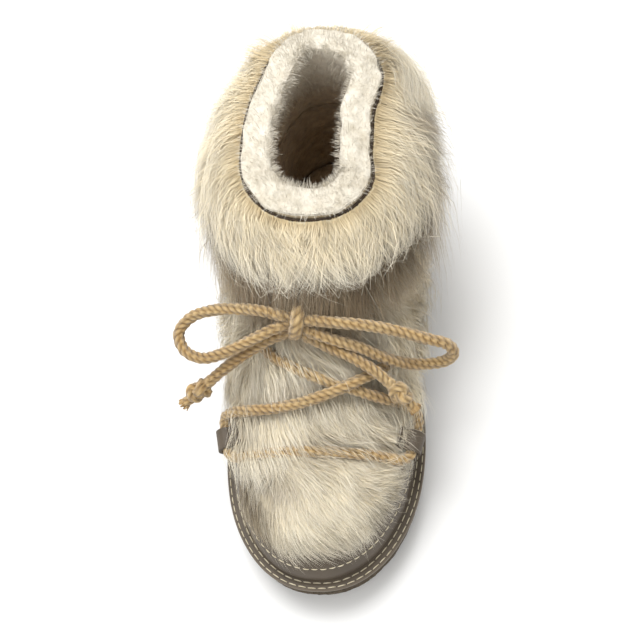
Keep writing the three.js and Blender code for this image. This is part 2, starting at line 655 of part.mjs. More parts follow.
// Rows of locks over a panel, whose lengths, places and widths vary in a fixed pattern.
function locks(rows, fur, bottom) {
  return rows.flatMap((row) =>
    Array.from({ length: row.count }, (_, i) => {
      const vary = Math.sin(2.4 * i + row.above);
      const share = (i + 0.5 + LOCK_VARIES.place * vary) / row.count;
      return lock(degrees(mix(row.from, row.to, share)), bottom + row.above + LOCK_VARIES.level * vary, {
        length: fur * row.length * (1 + LOCK_VARIES.length * vary),
        width: LOCK_WIDTH * (1 + LOCK_VARIES.width * Math.cos(1.7 * i)),
        lift: fur * row.lift,
        rise: fur * row.rise * (1 + LOCK_VARIES.rise * vary),
      });
    }),
  );
}

// A panel's body with its locks, cut to lie on the hide and over the rand.
const hideForm = form(COLLAR_LEVEL, GAP);
const randForm = form(RAND_LEVEL, LAYER_GAP + RAND_THICKNESS + GAP);
const furOf = (body, pieces) =>
  pieces.reduce((sum, piece) => sum.add(piece), body).subtract(hideForm).subtract(randForm);
const underHide = () => -UPPER_WALL / 2;

function vampFur() {
  const place = (a, b) => {
    const toe = { angle: degrees(mix(VAMP_CORNER, 360 - VAMP_CORNER, a)), level: FUR_BOTTOM };
    const back = below(mix(VAMP_BACK.x, -VAMP_BACK.x, a), VAMP_BACK.distance);
    return { angle: mix(toe.angle, back.angle, b), level: mix(toe.level, back.level, b) };
  };
  const body = panel(8, 4, place, underHide, pillow(VAMP_FUR));
  return furOf(body, locks(VAMP_LOCKS, VAMP_FUR, FUR_BOTTOM));
}

function tongueFur() {
  const place = (a, b) => {
    const front = below(mix(TONGUE_FRONT.x, -TONGUE_FRONT.x, a), TONGUE_FRONT.distance);
    const top = { angle: degrees(mix(TONGUE_TOP.angle, 360 - TONGUE_TOP.angle, a)), level: TONGUE_TOP.level };
    return { angle: mix(front.angle, top.angle, b), level: mix(front.level, top.level, b) };
  };
  return furOf(panel(6, 4, place, underHide, pillow(TONGUE_FUR)), []);
}

function quarterFur(side) {
  const place = (a, b) => {
    const level = mix(FUR_BOTTOM, QUARTER_TOP, b);
    const front = mix(QUARTER_FRONT[0], QUARTER_FRONT[1], b);
    const turn = mix(QUARTER_BACK, front, side > 0 ? a : 1 - a);
    return { angle: degrees(side > 0 ? turn : 360 - turn), level };
  };
  const mirrored = QUARTER_LOCKS.map((row) => ({ ...row, from: 360 - row.to, to: 360 - row.from }));
  const body = panel(10, 5, place, underHide, pillow(QUARTER_FUR));
  return furOf(body, locks(side > 0 ? QUARTER_LOCKS : mirrored, QUARTER_FUR, FUR_BOTTOM));
}

function cuffFur() {
  const depth = column(CUFF_PROFILE, "at", "depth");
  const share = (level) => (level - CUFF_BOTTOM) / (CUFF_TOP - CUFF_BOTTOM);
  const levels = CUFF_PROFILE.map((row) => mix(CUFF_BOTTOM, CUFF_TOP, row.at));
  const face = (lift) => (level) => (angle) => off(angle, level, lift(level));
  const outer = face((level) => CUFF_FUR * depth(share(level)));
  const body = belt([...levels.map(outer), ...levels.toReversed().map(face(underHide))]);
  return furOf(body, locks(CUFF_LOCKS, CUFF_FUR, CUFF_BOTTOM));
}

// The leather loops at the sides of the vamp: an arch of leather over the cord, with a flange at each foot.
function laceLoop(side) {
  const { angle, level } = below(side * LOOP_PLACE.x, LOOP_PLACE.distance);
  const { around, out } = skinAxes(angle, level);
  const half = CORD_DIAMETER / 2 + CORD_CLEARANCE;
  const crown = half + LOOP_LEATHER;
  const flange = crown + LOOP_FLANGE;
  const arch = new THREE.Shape();
  arch.moveTo(-flange, 0);
  arch.lineTo(-half, 0);
  arch.lineTo(-half, half);
  arch.absarc(0, half, half, Math.PI, 0, true);
  arch.lineTo(half, 0);
  arch.lineTo(flange, 0);
  arch.lineTo(flange, LOOP_LEATHER);
  arch.lineTo(crown, LOOP_LEATHER);
  arch.lineTo(crown, half);
  arch.absarc(0, half, crown, 0, Math.PI, false);
  arch.lineTo(-crown, LOOP_LEATHER);
  arch.lineTo(-flange, LOOP_LEATHER);
  const strip = new THREE.ExtrudeGeometry(arch, { depth: LOOP_LENGTH, bevelEnabled: false, curveSegments: 6 });
  strip.translate(0, 0, -LOOP_LENGTH / 2);
  const across = new THREE.Vector3().crossVectors(out, around).normalize();
  strip.applyMatrix4(new THREE.Matrix4().makeBasis(across, out, around));
  const seat = skin(angle, level).addScaledVector(out, LOOP_SEAT);
  strip.translate(seat.x, seat.y, seat.z);
  return solidOf(strip);
}

const COLOURS = {
  sole: { color: 0x4b4338, roughness: 0.9, metalness: 0 },
  leather: { color: 0x695f53, roughness: 0.7, metalness: 0 },
  fur: { color: 0xe3d8bd, roughness: 0.95, metalness: 0 },
  wool: { color: 0xdad2bf, roughness: 0.95, metalness: 0 },
  hide: { color: 0xcfc4ae, roughness: 0.85, metalness: 0 },
  binding: { color: 0x3a2c22, roughness: 0.75, metalness: 0 },
  cord: { color: 0xc9a66b, roughness: 0.9, metalness: 0 },
};

const boot = new THREE.Group();

function put(name, form, finish) {
  const { vertProperties, triVerts } = form.getMesh();
  const geometry = new THREE.BufferGeometry();
  geometry.setAttribute("position", new THREE.BufferAttribute(new Float32Array(vertProperties), 3));
  geometry.setIndex(new THREE.BufferAttribute(new Uint32Array(triVerts), 1));
  geometry.computeVertexNormals();
  const mesh = new THREE.Mesh(geometry, new THREE.MeshStandardMaterial(COLOURS[finish]));
  mesh.name = name;
  boot.add(mesh);
}

put("outsole", outsole(), "sole");
put("welt", welt(), "leather");
put("rand", rand(), "leather");
put("upper", upper(), "hide");
put("lining", lining(), "wool");
put("insole", insole(), "wool");
put("collar_binding", binding(), "binding");
put("fur_vamp", vampFur(), "fur");
put("fur_tongue", tongueFur(), "fur");
put("fur_quarter_medial", quarterFur(1), "fur");
put("fur_quarter_lateral", quarterFur(-1), "fur");
put("fur_cuff", cuffFur(), "fur");
put("lace_loop_medial", laceLoop(1), "leather");
put("lace_loop_lateral", laceLoop(-1), "leather");
put("lace_crossings", laceCrossings(), "cord");
put("lace_wrap", cordAlong(WRAP), "cord");
put("bow_knot", bowKnot(), "cord");
put("bow_loop_lateral", cordAlong(LATERAL_LOOP), "cord");
put("bow_loop_medial", cordAlong(MEDIAL_LOOP), "cord");
put("bow_end_lateral", cordAlong(LATERAL_END), "cord");
put("bow_end_medial", cordAlong(MEDIAL_END), "cord");
put("end_knot_lateral", stopKnot(LATERAL_STOP, LATERAL_END.at(-1)), "cord");
put("end_knot_medial", stopKnot(MEDIAL_STOP, MEDIAL_END.at(-1)), "cord");

export default boot;
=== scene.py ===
"""A right mukluk boot of ankle height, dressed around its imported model: long fur in tiers over a hide upper,
a leather rand turned out into a stitched flange on a crepe sole, a thick sheared-wool lining and a braided
cord tied in a bow. Metres, +Z up, toe towards -Y, the wearer's inner (medial) side towards +X. Angles run
around the boot from the heel (0) by the medial side to the toe (180 degrees), and levels climb the upper:
0 at the sole, 11 at the collar's edge, 12 at the top of the wool that stands out of it."""

import bpy
import numpy as np
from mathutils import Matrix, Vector
from mathutils.kdtree import KDTree


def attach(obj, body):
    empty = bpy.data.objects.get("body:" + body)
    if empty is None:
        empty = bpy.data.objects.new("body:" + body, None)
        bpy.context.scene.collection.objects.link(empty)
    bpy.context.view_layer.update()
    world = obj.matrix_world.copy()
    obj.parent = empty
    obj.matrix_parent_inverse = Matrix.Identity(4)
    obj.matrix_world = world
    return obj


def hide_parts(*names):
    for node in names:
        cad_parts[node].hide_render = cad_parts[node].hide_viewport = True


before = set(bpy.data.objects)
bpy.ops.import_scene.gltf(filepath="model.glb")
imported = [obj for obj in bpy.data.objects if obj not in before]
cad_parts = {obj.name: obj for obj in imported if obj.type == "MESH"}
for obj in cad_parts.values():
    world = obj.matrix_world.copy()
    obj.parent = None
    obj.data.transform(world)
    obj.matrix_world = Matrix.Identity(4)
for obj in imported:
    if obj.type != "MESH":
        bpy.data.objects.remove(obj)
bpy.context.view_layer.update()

# Main sizes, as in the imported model
SOLE_LENGTH = 0.284
BALL_WIDTH = 0.110
COLLAR_WIDTH = 0.068
INSTEP_HEIGHT = 0.088
SHAFT_HEIGHT = 0.040
HEEL_THICKNESS = 0.022
FOREFOOT_THICKNESS = 0.017
TOE_SPRING = 0.008
ARCH_RISE = 0.003
SOLE_INSET = 0.0015
GAP = 0.0003
FEATHER_INSET = 0.009
UPPER_WALL = 0.0025
WOOL_GAP = 0.0009
FOOT_WOOL = 0.008
COLLAR_WOOL = 0.014
INSOLE_THICKNESS = 0.005
INSOLE_CLEARANCE = 0.0006
LAYER_GAP = 0.0006
RAND_THICKNESS = 0.0016
BINDING_THICKNESS = 0.0014
CORD_DIAMETER = 0.006
TOP_LEVEL = 12

# Sections of the upper's outer face, level by level from 0 to 12
LEVELS = range(13)
SECTIONS = {
    "front": (0.0317, 0.0264, 0.037, 0.08, 0.1582, 0.2463, 0.3393, 0.4176, 0.4792, 0.5135, 0.5272,
              0.5302, 0.5302),
    "instep": (0, 0.1, 0.2, 0.33, 0.42, 0.5, 0.63, 0.805, 1, 1, 1, 1, 1),
    "shaft": (0, 0, 0, 0, 0, 0, 0, 0, 0, 0.42, 0.74, 1, 1.12),
    "back": (0.0317, 0.0264, 0.0235, 0.0255, 0.0303, 0.0372, 0.047, 0.0587, 0.0715, 0.0832, 0.092,
             0.0979, 0.0979),
    "heel": (0, 0.09, 0.19, 0.3, 0.41, 0.51, 0.625, 0.77, 0.93, 0.93, 0.93, 0.93, 0.93),
    "quarter": (0, 0, 0, 0, 0, 0, 0, 0, 0, 0.42, 0.8, 1.25, 1.37),
    "ball": (1, 1.03, 1.03, 1.01, 1, 0.99, 0.99, 0.98, 0.96, 0.62, 0.24, 0, 0),
    "collar": (0, 0, 0, 0, 0, 0, 0, 0, 0, 0.4, 0.8, 1, 1),
    "front_round": (0.31, 0.31, 0.32, 0.33, 0.36, 0.4, 0.44, 0.48, 0.49, 0.47, 0.45, 0.44, 0.44),
    "back_round": (0.16, 0.16, 0.17, 0.19, 0.21, 0.24, 0.29, 0.35, 0.41, 0.45, 0.48, 0.5, 0.5),
    "power": (2.2, 2.2, 2.2, 2.15, 2.1, 2.05, 2, 2, 2, 2.1, 2.25, 2.4, 2.4),
    "slack": (0, 0, 0, 0, 0, 0, 0, 0.05, 0.15, 0.4, 0.75, 1, 1),
}
# Outlines seen from above, from the heel (0) to the toe (1), as shares of the half width on each side
FOOT_AT = (0, 0.2, 0.42, 0.68, 0.82, 1)
FOOT_OUTLINE = {"medial": (0.8, 0.8, 0.8, 0.99, 1, 0.97), "lateral": (0.8, 0.81, 0.88, 1, 1, 0.97)}
SLACK_AT = (0, 0.22, 0.5, 0.66, 0.84, 1)
SLACK_OUTLINE = {"medial": (1.08, 1.05, 0.84, 0.84, 1, 1.02), "lateral": (0.8, 0.82, 0.95, 0.98, 1.03, 1)}
# The sole in side view, from the heel (0) to the toe (1)
PROFILE_AT = (0, 0.06, 0.32, 0.37, 0.43, 0.48, 0.65, 0.78, 0.9, 1)
SOLE_PROFILE = {
    "arch": (0.6, 0, 0, 1, 1, 0, 0, 0, 0, 0),
    "spring": (0, 0, 0, 0, 0, 0, 0, 0, 0.35, 1),
    "wedge": (1, 1, 0.9, 0.7, 0.45, 0.25, 0, 0, 0, 0),
}


# Curves through tables, and noise

def column(at, values):
    """A smooth curve through a table's column that never overshoots, so flat stretches stay flat."""
    x, y = np.array(at, float), np.array(values, float)
    steps = np.diff(y) / np.diff(x)
    before, after = np.append(steps[0], steps), np.append(steps, steps[-1])
    total = np.where(before * after > 0, before + after, 1)
    slopes = np.where(before * after > 0, 2 * before * after / total, 0)

    def curve(where):
        w = np.clip(where, x[0], x[-1])
        i = np.clip(np.searchsorted(x, w, side="right") - 1, 0, len(x) - 2)
        width = x[i + 1] - x[i]
        t = (w - x[i]) / width
        r = 1 - t
        level = y[i] * r * r * (1 + 2 * t) + y[i + 1] * t * t * (3 - 2 * t)
        return level + slopes[i] * width * t * r * r - slopes[i + 1] * width * t * t * r

    return curve


def columns(at, table):
    return {name: column(at, values) for name, values in table.items()}


section = columns(LEVELS, SECTIONS)
foot = columns(FOOT_AT, FOOT_OUTLINE)
slack_edge = columns(SLACK_AT, SLACK_OUTLINE)
profile = columns(PROFILE_AT, SOLE_PROFILE)


def smooth(low, high, value):
    t = np.clip((value - low) / (high - low), 0, 1)
    return t * t * (3 - 2 * t)


def unit(v):
    return v / np.maximum(np.linalg.norm(v, axis=-1, keepdims=True), 1e-12)


def noise(points, size, seed=0):
    """Smooth noise from -1 to 1, whose lumps have the given size in metres."""
    q = np.asarray(points) / size
    cell = np.floor(q).astype(np.int64)
    f = q - cell
    f = f * f * (3 - 2 * f)
    total = 0
    for corner in np.ndindex(2, 2, 2):
        x, y, z = (cell[..., k] + corner[k] for k in range(3))
        mixed = (x * 73856093 ^ y * 19349663 ^ z * 83492791 ^ (seed + 1) * 2654435761) & 0xFFFFFFFF
        mixed = ((mixed ^ (mixed >> 13)) * 1274126177) & 0xFFFFFFFF
        value = ((mixed ^ (mixed >> 16)) & 0xFFFF) / 32767.5 - 1
        weight = 1
        for k in range(3):
            weight = weight * (f[..., k] if corner[k] else 1 - f[..., k])
        total = total + value * weight
    return total


# The boot's own form

def y_behind_toe(distance):
    return distance - SOLE_LENGTH / 2


def share_from_heel(y):
    return 0.5 - y / SOLE_LENGTH


def sole_bottom(y):
    at = share_from_heel(y)
    return profile["arch"](at) * ARCH_RISE + profile["spring"](at) * TOE_SPRING


def sole_top(y):
    at = share_from_heel(y)
    thickness = FOREFOOT_THICKNESS + (HEEL_THICKNESS - FOREFOOT_THICKNESS) * profile["wedge"](at)
    return thickness + profile["spring"](at) * TOE_SPRING


def round_end(from_tip, length, power):
    left = np.clip(1 - from_tip / length, 0, 1)
    return (1 - left**power) ** (1 / power)


def both_ends(along, level):
    """The share of the width that is left by the round toe and heel."""
    power = section["power"](level)
    front = round_end(1 - along, section["front_round"](level), power)
    return front * round_end(along, section["back_round"](level), power)


def on_side(table, medial, along):
    return np.where(medial, table["medial"](along), table["lateral"](along))


def outline(angle, inset):
    """The sole's outline, moved inwards by inset: x and y."""
    along = (1 - np.cos(angle)) / 2
    medial = np.sin(angle) >= 0
    half = (BALL_WIDTH / 2 - inset) * on_side(foot, medial, along) * both_ends(along, 0)
    return np.where(medial, half, -half), (0.5 - along) * (SOLE_LENGTH - 2 * inset)


def skin(angle, level):
    """Points of the upper's outer face."""
    angle, level = np.broadcast_arrays(np.asarray(angle, float), np.asarray(level, float))
    along = (1 - np.cos(angle)) / 2
    front = y_behind_toe(section["front"](level) * SOLE_LENGTH)
    back = y_behind_toe((1 - section["back"](level)) * SOLE_LENGTH)
    y = back + (front - back) * along
    front_rise = section["instep"](level) * INSTEP_HEIGHT + section["shaft"](level) * SHAFT_HEIGHT
    back_rise = section["heel"](level) * INSTEP_HEIGHT + section["quarter"](level) * SHAFT_HEIGHT
    medial = np.sin(angle) >= 0
    slack = section["slack"](level)
    edge = (1 - slack) * on_side(foot, medial, along) + slack * on_side(slack_edge, medial, along)
    half = section["ball"](level) * (BALL_WIDTH / 2 - FEATHER_INSET)
    half = half + section["collar"](level) * COLLAR_WIDTH / 2
    x = half * edge * both_ends(along, level) * np.where(medial, 1, -1)
    z = sole_top(y) + GAP + back_rise + (front_rise - back_rise) * along
    return np.stack([x, y, z], axis=-1)


ANGLE_STEP = 0.06
LEVEL_STEP = 0.12


def skin_axes(angle, level):
    """Directions around the face, up it and out of it, and the metres that one radian and one level go."""
    low, high = np.maximum(level - LEVEL_STEP, 0), np.minimum(level + LEVEL_STEP, TOP_LEVEL)
    around = skin(angle + ANGLE_STEP, level) - skin(angle - ANGLE_STEP, level)
    up = skin(angle, high) - skin(angle, low)
    scale_around = np.linalg.norm(around, axis=-1) / (2 * ANGLE_STEP)
    scale_up = np.linalg.norm(up, axis=-1) / np.maximum(high - low, 1e-6)
    around, up = unit(around), unit(up)
    out = unit(np.cross(up, around))
    out[..., 2] *= smooth(0, 1.5, level) * (1 - smooth(10, 11, level))
    return around, up, unit(out), scale_around, scale_up


def off(angle, level, lift):
    """Points that stand off the upper's face by a distance."""
    angle, level, lift = np.broadcast_arrays(*(np.asarray(v, float) for v in (angle, level, lift)))
    base = skin(angle, level)
    point = base + skin_axes(angle, level)[2] * lift[..., None]
    point[..., 2] += (1 - smooth(0, 2, level)) * (sole_top(point[..., 1]) - sole_top(base[..., 1]))
    return point


def turns(count):
    return np.linspace(0, 2 * np.pi, count, endpoint=False)


# Meshes

def grid_faces(rows, across, closed_rows=False, closed_across=True, start=0):
    """Quads between rows of points, as indices."""
    r = np.arange(rows if closed_rows else rows - 1)[:, None]
    c = np.arange(across if closed_across else across - 1)[None, :]
    r, c = np.broadcast_arrays(r, c)
    below, above = r * across, ((r + 1) % rows) * across
    right = (c + 1) % across
    quads = np.stack([below + c, above + c, above + right, below + right], axis=-1)
    return quads.reshape(-1, 4) + start


def make(name, points, faces, material, values=None, replaces=()):
    """A piece from points in metres and faces, a list of arrays of indices with 3 or 4 corners each."""
    mesh = bpy.data.meshes.new(name)
    faces = [np.asarray(f, np.int64) for f in faces if len(f)]
    corners = np.concatenate([f.ravel() for f in faces])
    sizes = np.concatenate([np.full(len(f), f.shape[1]) for f in faces])
    mesh.vertices.add(len(points))
    mesh.vertices.foreach_set("co", np.asarray(points, np.float32).ravel())
    mesh.loops.add(len(corners))
    mesh.loops.foreach_set("vertex_index", corners.astype(np.int32))
    mesh.polygons.add(len(sizes))
    mesh.polygons.foreach_set("loop_start", (np.cumsum(sizes) - sizes).astype(np.int32))
    mesh.polygons.foreach_set("use_smooth", np.ones(len(sizes), bool))
    values = dict(values or {})
    normals = values.pop("normal", None)
    for key, value in values.items():
        attribute = mesh.attributes.new(key, "FLOAT", "POINT")
        attribute.data.foreach_set("value", np.asarray(value, np.float32).ravel())
    mesh.update(calc_edges=True)
    mesh.validate()
    if normals is not None:
        mesh.normals_split_custom_set_from_vertices(np.asarray(normals, np.float32))
    mesh.materials.append(material)
    piece = bpy.data.objects.new(name, mesh)
    bpy.context.scene.collection.objects.link(piece)
    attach(piece, "root")
    if replaces:
        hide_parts(*replaces)
    return piece


def hoop(name, rows, material, node, values=None):
    """A piece whose section closes on itself, from rows of points around the boot."""
    points = np.array(rows)
    faces = [grid_faces(len(points), points.shape[1], closed_rows=True)[:, ::-1]]
    make(name, points.reshape(-1, 3), faces, material, values, (node,))


def closed_off(rings, across):
    """Faces that close the first and last of some rings, between points that lie opposite each other."""
    half = across // 2
    i = np.arange(1, half - 1)
    strip = np.stack([i, i + 1, across - i - 1, across - i], -1)
    tips = np.array([[0, 1, across - 1], [half - 1, half, half + 1]])
    last = (rings - 1) * across
    return [strip, tips, (strip + last)[:, ::-1], (tips + last)[:, ::-1]]


def joined(parts):
    """Several (points, faces, values) as one."""
    points, faces, values, start = [], [], {}, 0
    for p, f, v in parts:
        points.append(np.asarray(p).reshape(-1, 3))
        faces += [np.asarray(each) + start for each in f]
        for key, value in v.items():
            values.setdefault(key, []).append(np.asarray(value, float).reshape(len(points[-1]), -1))
        start += len(points[-1])
    return np.concatenate(points), faces, {key: np.concatenate(value) for key, value in values.items()}


# Materials

def srgb(red, green, blue):
    def linear(c):
        c /= 255
        return c / 12.92 if c <= 0.04045 else ((c + 0.055) / 1.055) ** 2.4

    return (linear(red), linear(green), linear(blue), 1)


class Finish:
    """A material whose even values are set on the shader's own sockets."""

    def __init__(self, name, **sockets):
        self.material = bpy.data.materials.new(name)
        self.material.use_nodes = True
        self.tree = self.material.node_tree
        self.shader = self.tree.nodes["Principled BSDF"]
        for socket, value in sockets.items():
            self.shader.inputs[socket.replace("_", " ")].default_value = value
        self.place = self.node("ShaderNodeTexCoord").outputs["Object"]

    def put(self, node, key, value):
        if isinstance(value, bpy.types.NodeSocket):
            self.tree.links.new(value, node.inputs[key])
        else:
            node.inputs[key].default_value = value

    def node(self, kind, inputs=None, **settings):
        node = self.tree.nodes.new(kind)
        for key, value in settings.items():
            setattr(node, key, value)
        for key, value in (inputs or {}).items():
            self.put(node, key, value)
        return node

    def attribute(self, name):
        return self.node("ShaderNodeAttribute", attribute_name=name).outputs["Fac"]

    def noise(self, size, detail=3, rough=0.55, vector=None):
        """Noise whose lumps have a size in metres."""
        inputs = {"Vector": vector or self.place, "Scale": 1 / size, "Detail": detail, "Roughness": rough}
        return self.node("ShaderNodeTexNoise", inputs).outputs["Fac"]

    def times(self, a, b):
        return self.node("ShaderNodeMath", {0: a, 1: b}, operation="MULTIPLY").outputs[0]

    def ramp(self, value, *stops):
        node = self.node("ShaderNodeValToRGB", {"Fac": value})
        elements = node.color_ramp.elements
        for i, (at, colour) in enumerate(stops):
            element = elements[i] if i < 2 else elements.new(at)
            element.position, element.color = at, colour
        return node.outputs["Color"]

    def mix(self, share, a, b, blend="MIX"):
        node = self.node("ShaderNodeMix", data_type="RGBA", blend_type=blend)
        for key, value in ((0, share), (6, a), (7, b)):
            self.put(node, key, value)
        return node.outputs[2]

    def colour(self, value):
        self.put(self.shader, "Base Color", value)

    def rough(self, value):
        self.put(self.shader, "Roughness", value)

    def bump(self, height, distance, strength=1.0, after=None):
        inputs = {"Height": height, "Distance": distance, "Strength": strength}
        if after is not None:
            inputs["Normal"] = after
        normal = self.node("ShaderNodeBump", inputs).outputs["Normal"]
        self.put(self.shader, "Normal", normal)
        return normal


GREY = lambda value: (value, value, value, 1)


def fur_finish():
    """Long hair: darker and greyer at the root, pale at the tip, with warm, grey and brown stretches; the grey
    and brown also carry painted shade under the cuff and its fringe.
    """
    f = Finish("long_fur", Roughness=0.7, Specular_IOR_Level=0.25, Sheen_Weight=0.3, Sheen_Roughness=0.5)
    along, vary, tone, brown = (f.attribute(name) for name in ("along", "vary", "tone", "brown"))
    cream = f.ramp(along, (0.0, srgb(214, 192, 148)), (0.3, srgb(246, 232, 200)), (1.0, srgb(255, 250, 236)))
    grey = f.ramp(along, (0.0, srgb(72, 60, 45)), (0.45, srgb(110, 96, 74)), (1.0, srgb(178, 164, 138)))
    dark = f.ramp(along, (0.0, srgb(84, 62, 44)), (0.5, srgb(108, 88, 66)), (1.0, srgb(160, 140, 112)))
    coat = f.mix(tone, cream, grey)
    coat = f.mix(brown, coat, dark)
    streak = f.ramp(vary, (0.0, GREY(0.78)), (0.45, GREY(0.94)), (1.0, GREY(1.0)))
    f.colour(f.mix(0.8, coat, streak, "MULTIPLY"))
    return f.material


def wool_finish():
    """Sheared wool: cream, matted in soft tufts and darker where they sink, turning brown-grey with painted
    shade deep inside the boot.
    """
    f = Finish("sheared_wool", Roughness=0.9, Specular_IOR_Level=0.15, Sheen_Weight=0.4, Sheen_Roughness=0.6)
    tufts = f.noise(0.006, 4, 0.6)
    fibres = f.noise(0.0009, 5, 0.75)
    shade = f.attribute("shade")
    light = f.ramp(tufts, (0.3, srgb(206, 197, 178)), (0.62, srgb(230, 223, 208)))
    # Painted shade: the brown-grey that the shade attribute mixes in deep inside the boot.
    deep = f.ramp(tufts, (0.3, srgb(172, 144, 108)), (0.7, srgb(216, 192, 154)))
    f.colour(f.mix(shade, light, deep))
    rough = f.bump(tufts, 0.0016)
    f.bump(fibres, 0.0006, 1.0, rough)
    return f.material


def leather_finish():
    """Smooth taupe leather with fine grain, soft clouds, faint scuffs and paler rubbed edges."""
    f = Finish("taupe_leather", Specular_IOR_Level=0.35)
    clouds = f.noise(0.022, 3)
    grain = f.node("ShaderNodeTexVoronoi", {"Vector": f.place, "Scale": 1500.0}, feature="DISTANCE_TO_EDGE")
    pores = f.noise(0.0005, 3)
    streaks = f.node("ShaderNodeMapping", {"Vector": f.place, "Scale": (1, 1, 5)}).outputs["Vector"]
    scuff = f.ramp(f.noise(0.007, 6, 0.75, streaks), (0.6, GREY(0)), (0.74, GREY(1)))
    base = f.ramp(clouds, (0.3, srgb(71, 62, 51)), (0.7, srgb(87, 77, 65)))
    wear = f.attribute("wear")
    worn = f.mix(f.times(wear, 0.6), base, srgb(122, 110, 94))
    f.colour(f.mix(f.times(scuff, 0.16), worn, srgb(142, 130, 113)))
    f.rough(f.node("ShaderNodeMapRange", {"Value": clouds, "To Min": 0.44, "To Max": 0.6}).outputs[0])
    fine = f.bump(grain.outputs["Distance"], 0.00012, 0.5)
    f.bump(pores, 0.00008, 0.5, fine)
    return f.material


def crepe_finish():
    """Crepe rubber: dark brown, crumbly and matt, paler on the raised crumbs and darker where the surface
    sinks, with paler patches.
    """
    f = Finish("crepe_rubber", Roughness=0.92, Specular_IOR_Level=0.2)
    crumbs = f.noise(0.0018, 6, 0.7)
    patches = f.noise(0.014, 3)
    base = f.ramp(crumbs, (0.35, srgb(48, 41, 33)), (0.52, srgb(78, 69, 57)), (0.7, srgb(112, 101, 86)))
    f.colour(f.mix(f.times(patches, 0.3), base, srgb(98, 86, 70)))
    coarse = f.bump(crumbs, 0.0009)
    f.bump(f.noise(0.0005, 3), 0.0003, 0.8, coarse)
    return f.material


def cord_finish():
    """Plaited cotton: golden beige, with painted shade between its strands, fine yarns and fuzz."""
    f = Finish("cotton_cord", Roughness=0.85, Specular_IOR_Level=0.2, Sheen_Weight=0.5, Sheen_Roughness=0.4)
    relief, lay, around = (f.attribute(name) for name in ("relief", "lay", "around"))
    # Painted shade: darker where the relief sinks between the strands.
    base = f.ramp(relief, (0.0, srgb(92, 73, 46)), (0.4, srgb(164, 138, 97)), (1.0, srgb(216, 191, 146)))
    clouds = f.ramp(f.noise(0.02, 2), (0.3, srgb(214, 190, 150)), (0.7, srgb(255, 250, 238)))
    f.colour(f.mix(0.6, base, clouds, "MULTIPLY"))
    yarn = f.node("ShaderNodeCombineXYZ", {"X": lay, "Y": around}).outputs["Vector"]
    waves = {"Vector": yarn, "Scale": 1.6, "Distortion": 1.5}
    yarns = f.node("ShaderNodeTexWave", waves, bands_direction="X")
    first = f.bump(yarns.outputs["Fac"], 0.00022, 0.7)
    f.bump(f.noise(0.0004, 4, 0.7), 0.00025, 0.8, first)
    return f.material


def thread_finish():
    """Waxed thread: off-white, with faint clouds and fine fibres."""
    f = Finish("waxed_thread", Roughness=0.6, Specular_IOR_Level=0.35)
    f.colour(f.ramp(f.noise(0.002, 3), (0.3, srgb(190, 178, 148)), (0.7, srgb(224, 214, 188))))
    f.bump(f.noise(0.0003, 2), 0.00012)
    return f.material


def binding_finish():
    """Dark brown leather edge, mottled and rough."""
    f = Finish("binding_leather", Roughness=0.75, Specular_IOR_Level=0.3)
    mottle = f.noise(0.003, 5, 0.7)
    f.colour(f.ramp(mottle, (0.3, srgb(46, 36, 27)), (0.65, srgb(70, 56, 43)), (0.8, srgb(98, 82, 64))))
    f.bump(f.noise(0.0007, 4, 0.7), 0.0003)
    return f.material


def hide_finish():
    """The hide under the hair: tan suede with short nap."""
    f = Finish("hide_suede", Roughness=0.9, Specular_IOR_Level=0.2, Sheen_Weight=0.3)
    f.colour(f.ramp(f.noise(0.008, 4), (0.3, srgb(178, 158, 126)), (0.7, srgb(216, 198, 166))))
    f.bump(f.noise(0.0006, 4, 0.7), 0.0003)
    return f.material


FUR = fur_finish()
WOOL = wool_finish()
LEATHER = leather_finish()
CREPE = crepe_finish()
CORD = cord_finish()
THREAD = thread_finish()
BINDING = binding_finish()
HIDE = hide_finish()

# Camera, at the photograph's own place and turned from its own aim to the one boot
PHOTO_EYE = Vector((0.0715, -0.282, 0.618))
PHOTO_AIM = Vector((0.0715, 0.047, 0))
BOOT_AIM = Vector((-0.002, -0.004, 0.062))
LENS = 0.0655


def camera():
    data = bpy.data.cameras.new("camera")
    data.sensor_width = 36
    data.lens = LENS * 1000
    data.clip_start = 0.05
    data.clip_end = 20
    eye = bpy.data.objects.new("camera", data)
    bpy.context.scene.collection.objects.link(eye)
    photo, aim = PHOTO_AIM - PHOTO_EYE, BOOT_AIM - PHOTO_EYE
    eye.location = PHOTO_EYE
    eye.rotation_mode = "QUATERNION"
    eye.rotation_quaternion = photo.rotation_difference(aim) @ photo.to_track_quat("-Z", "Y")
    bpy.context.scene.camera = eye


camera()


# Cords

def behind_toe(*places):
    """A cord's points, from x, the distance behind the toe's tip and the height in millimetres."""
    return [(x / 1000, y_behind_toe(distance / 1000), z / 1000) for x, distance, z in places]


MEDIAL_CROSSING = behind_toe(
    (-31, 116, 79), (-20, 105, 84), (-2.4, 96.5, 83), (7, 93.5, 81), (20, 91, 77), (34, 89.5, 69.5),
    (44, 90.5, 60), (50.7, 87, 52), (50.6, 80.5, 50.3), (48.9, 72.7, 50.3), (47.4, 66.5, 50.5),
    (42.5, 63, 52.2), (36, 62.8, 55.4),
)
BAR = behind_toe(
    (42.5, 63, 52.2), (36, 62.8, 55.4), (23, 62.8, 60.5), (8, 62.8, 62.7), (-8, 62.8, 62.7),
    (-23, 62.8, 60.5), (-36, 62.8, 55.4), (-42.5, 63, 52.2),
)
LATERAL_CROSSING = behind_toe(
    (-36, 62.8, 55.4), (-42.5, 63, 52.2), (-47.4, 66.5, 50.5), (-48.9, 72.7, 50.3), (-50.6, 80.5, 50.3),
    (-50.3, 85, 52.5), (-44, 85, 60.5), (-34, 83, 67.5), (-22, 82.5, 72), (-8, 84, 76), (6, 87, 80.5),
    (18, 91.5, 83), (29, 99, 79.5), (39, 110, 70),
)
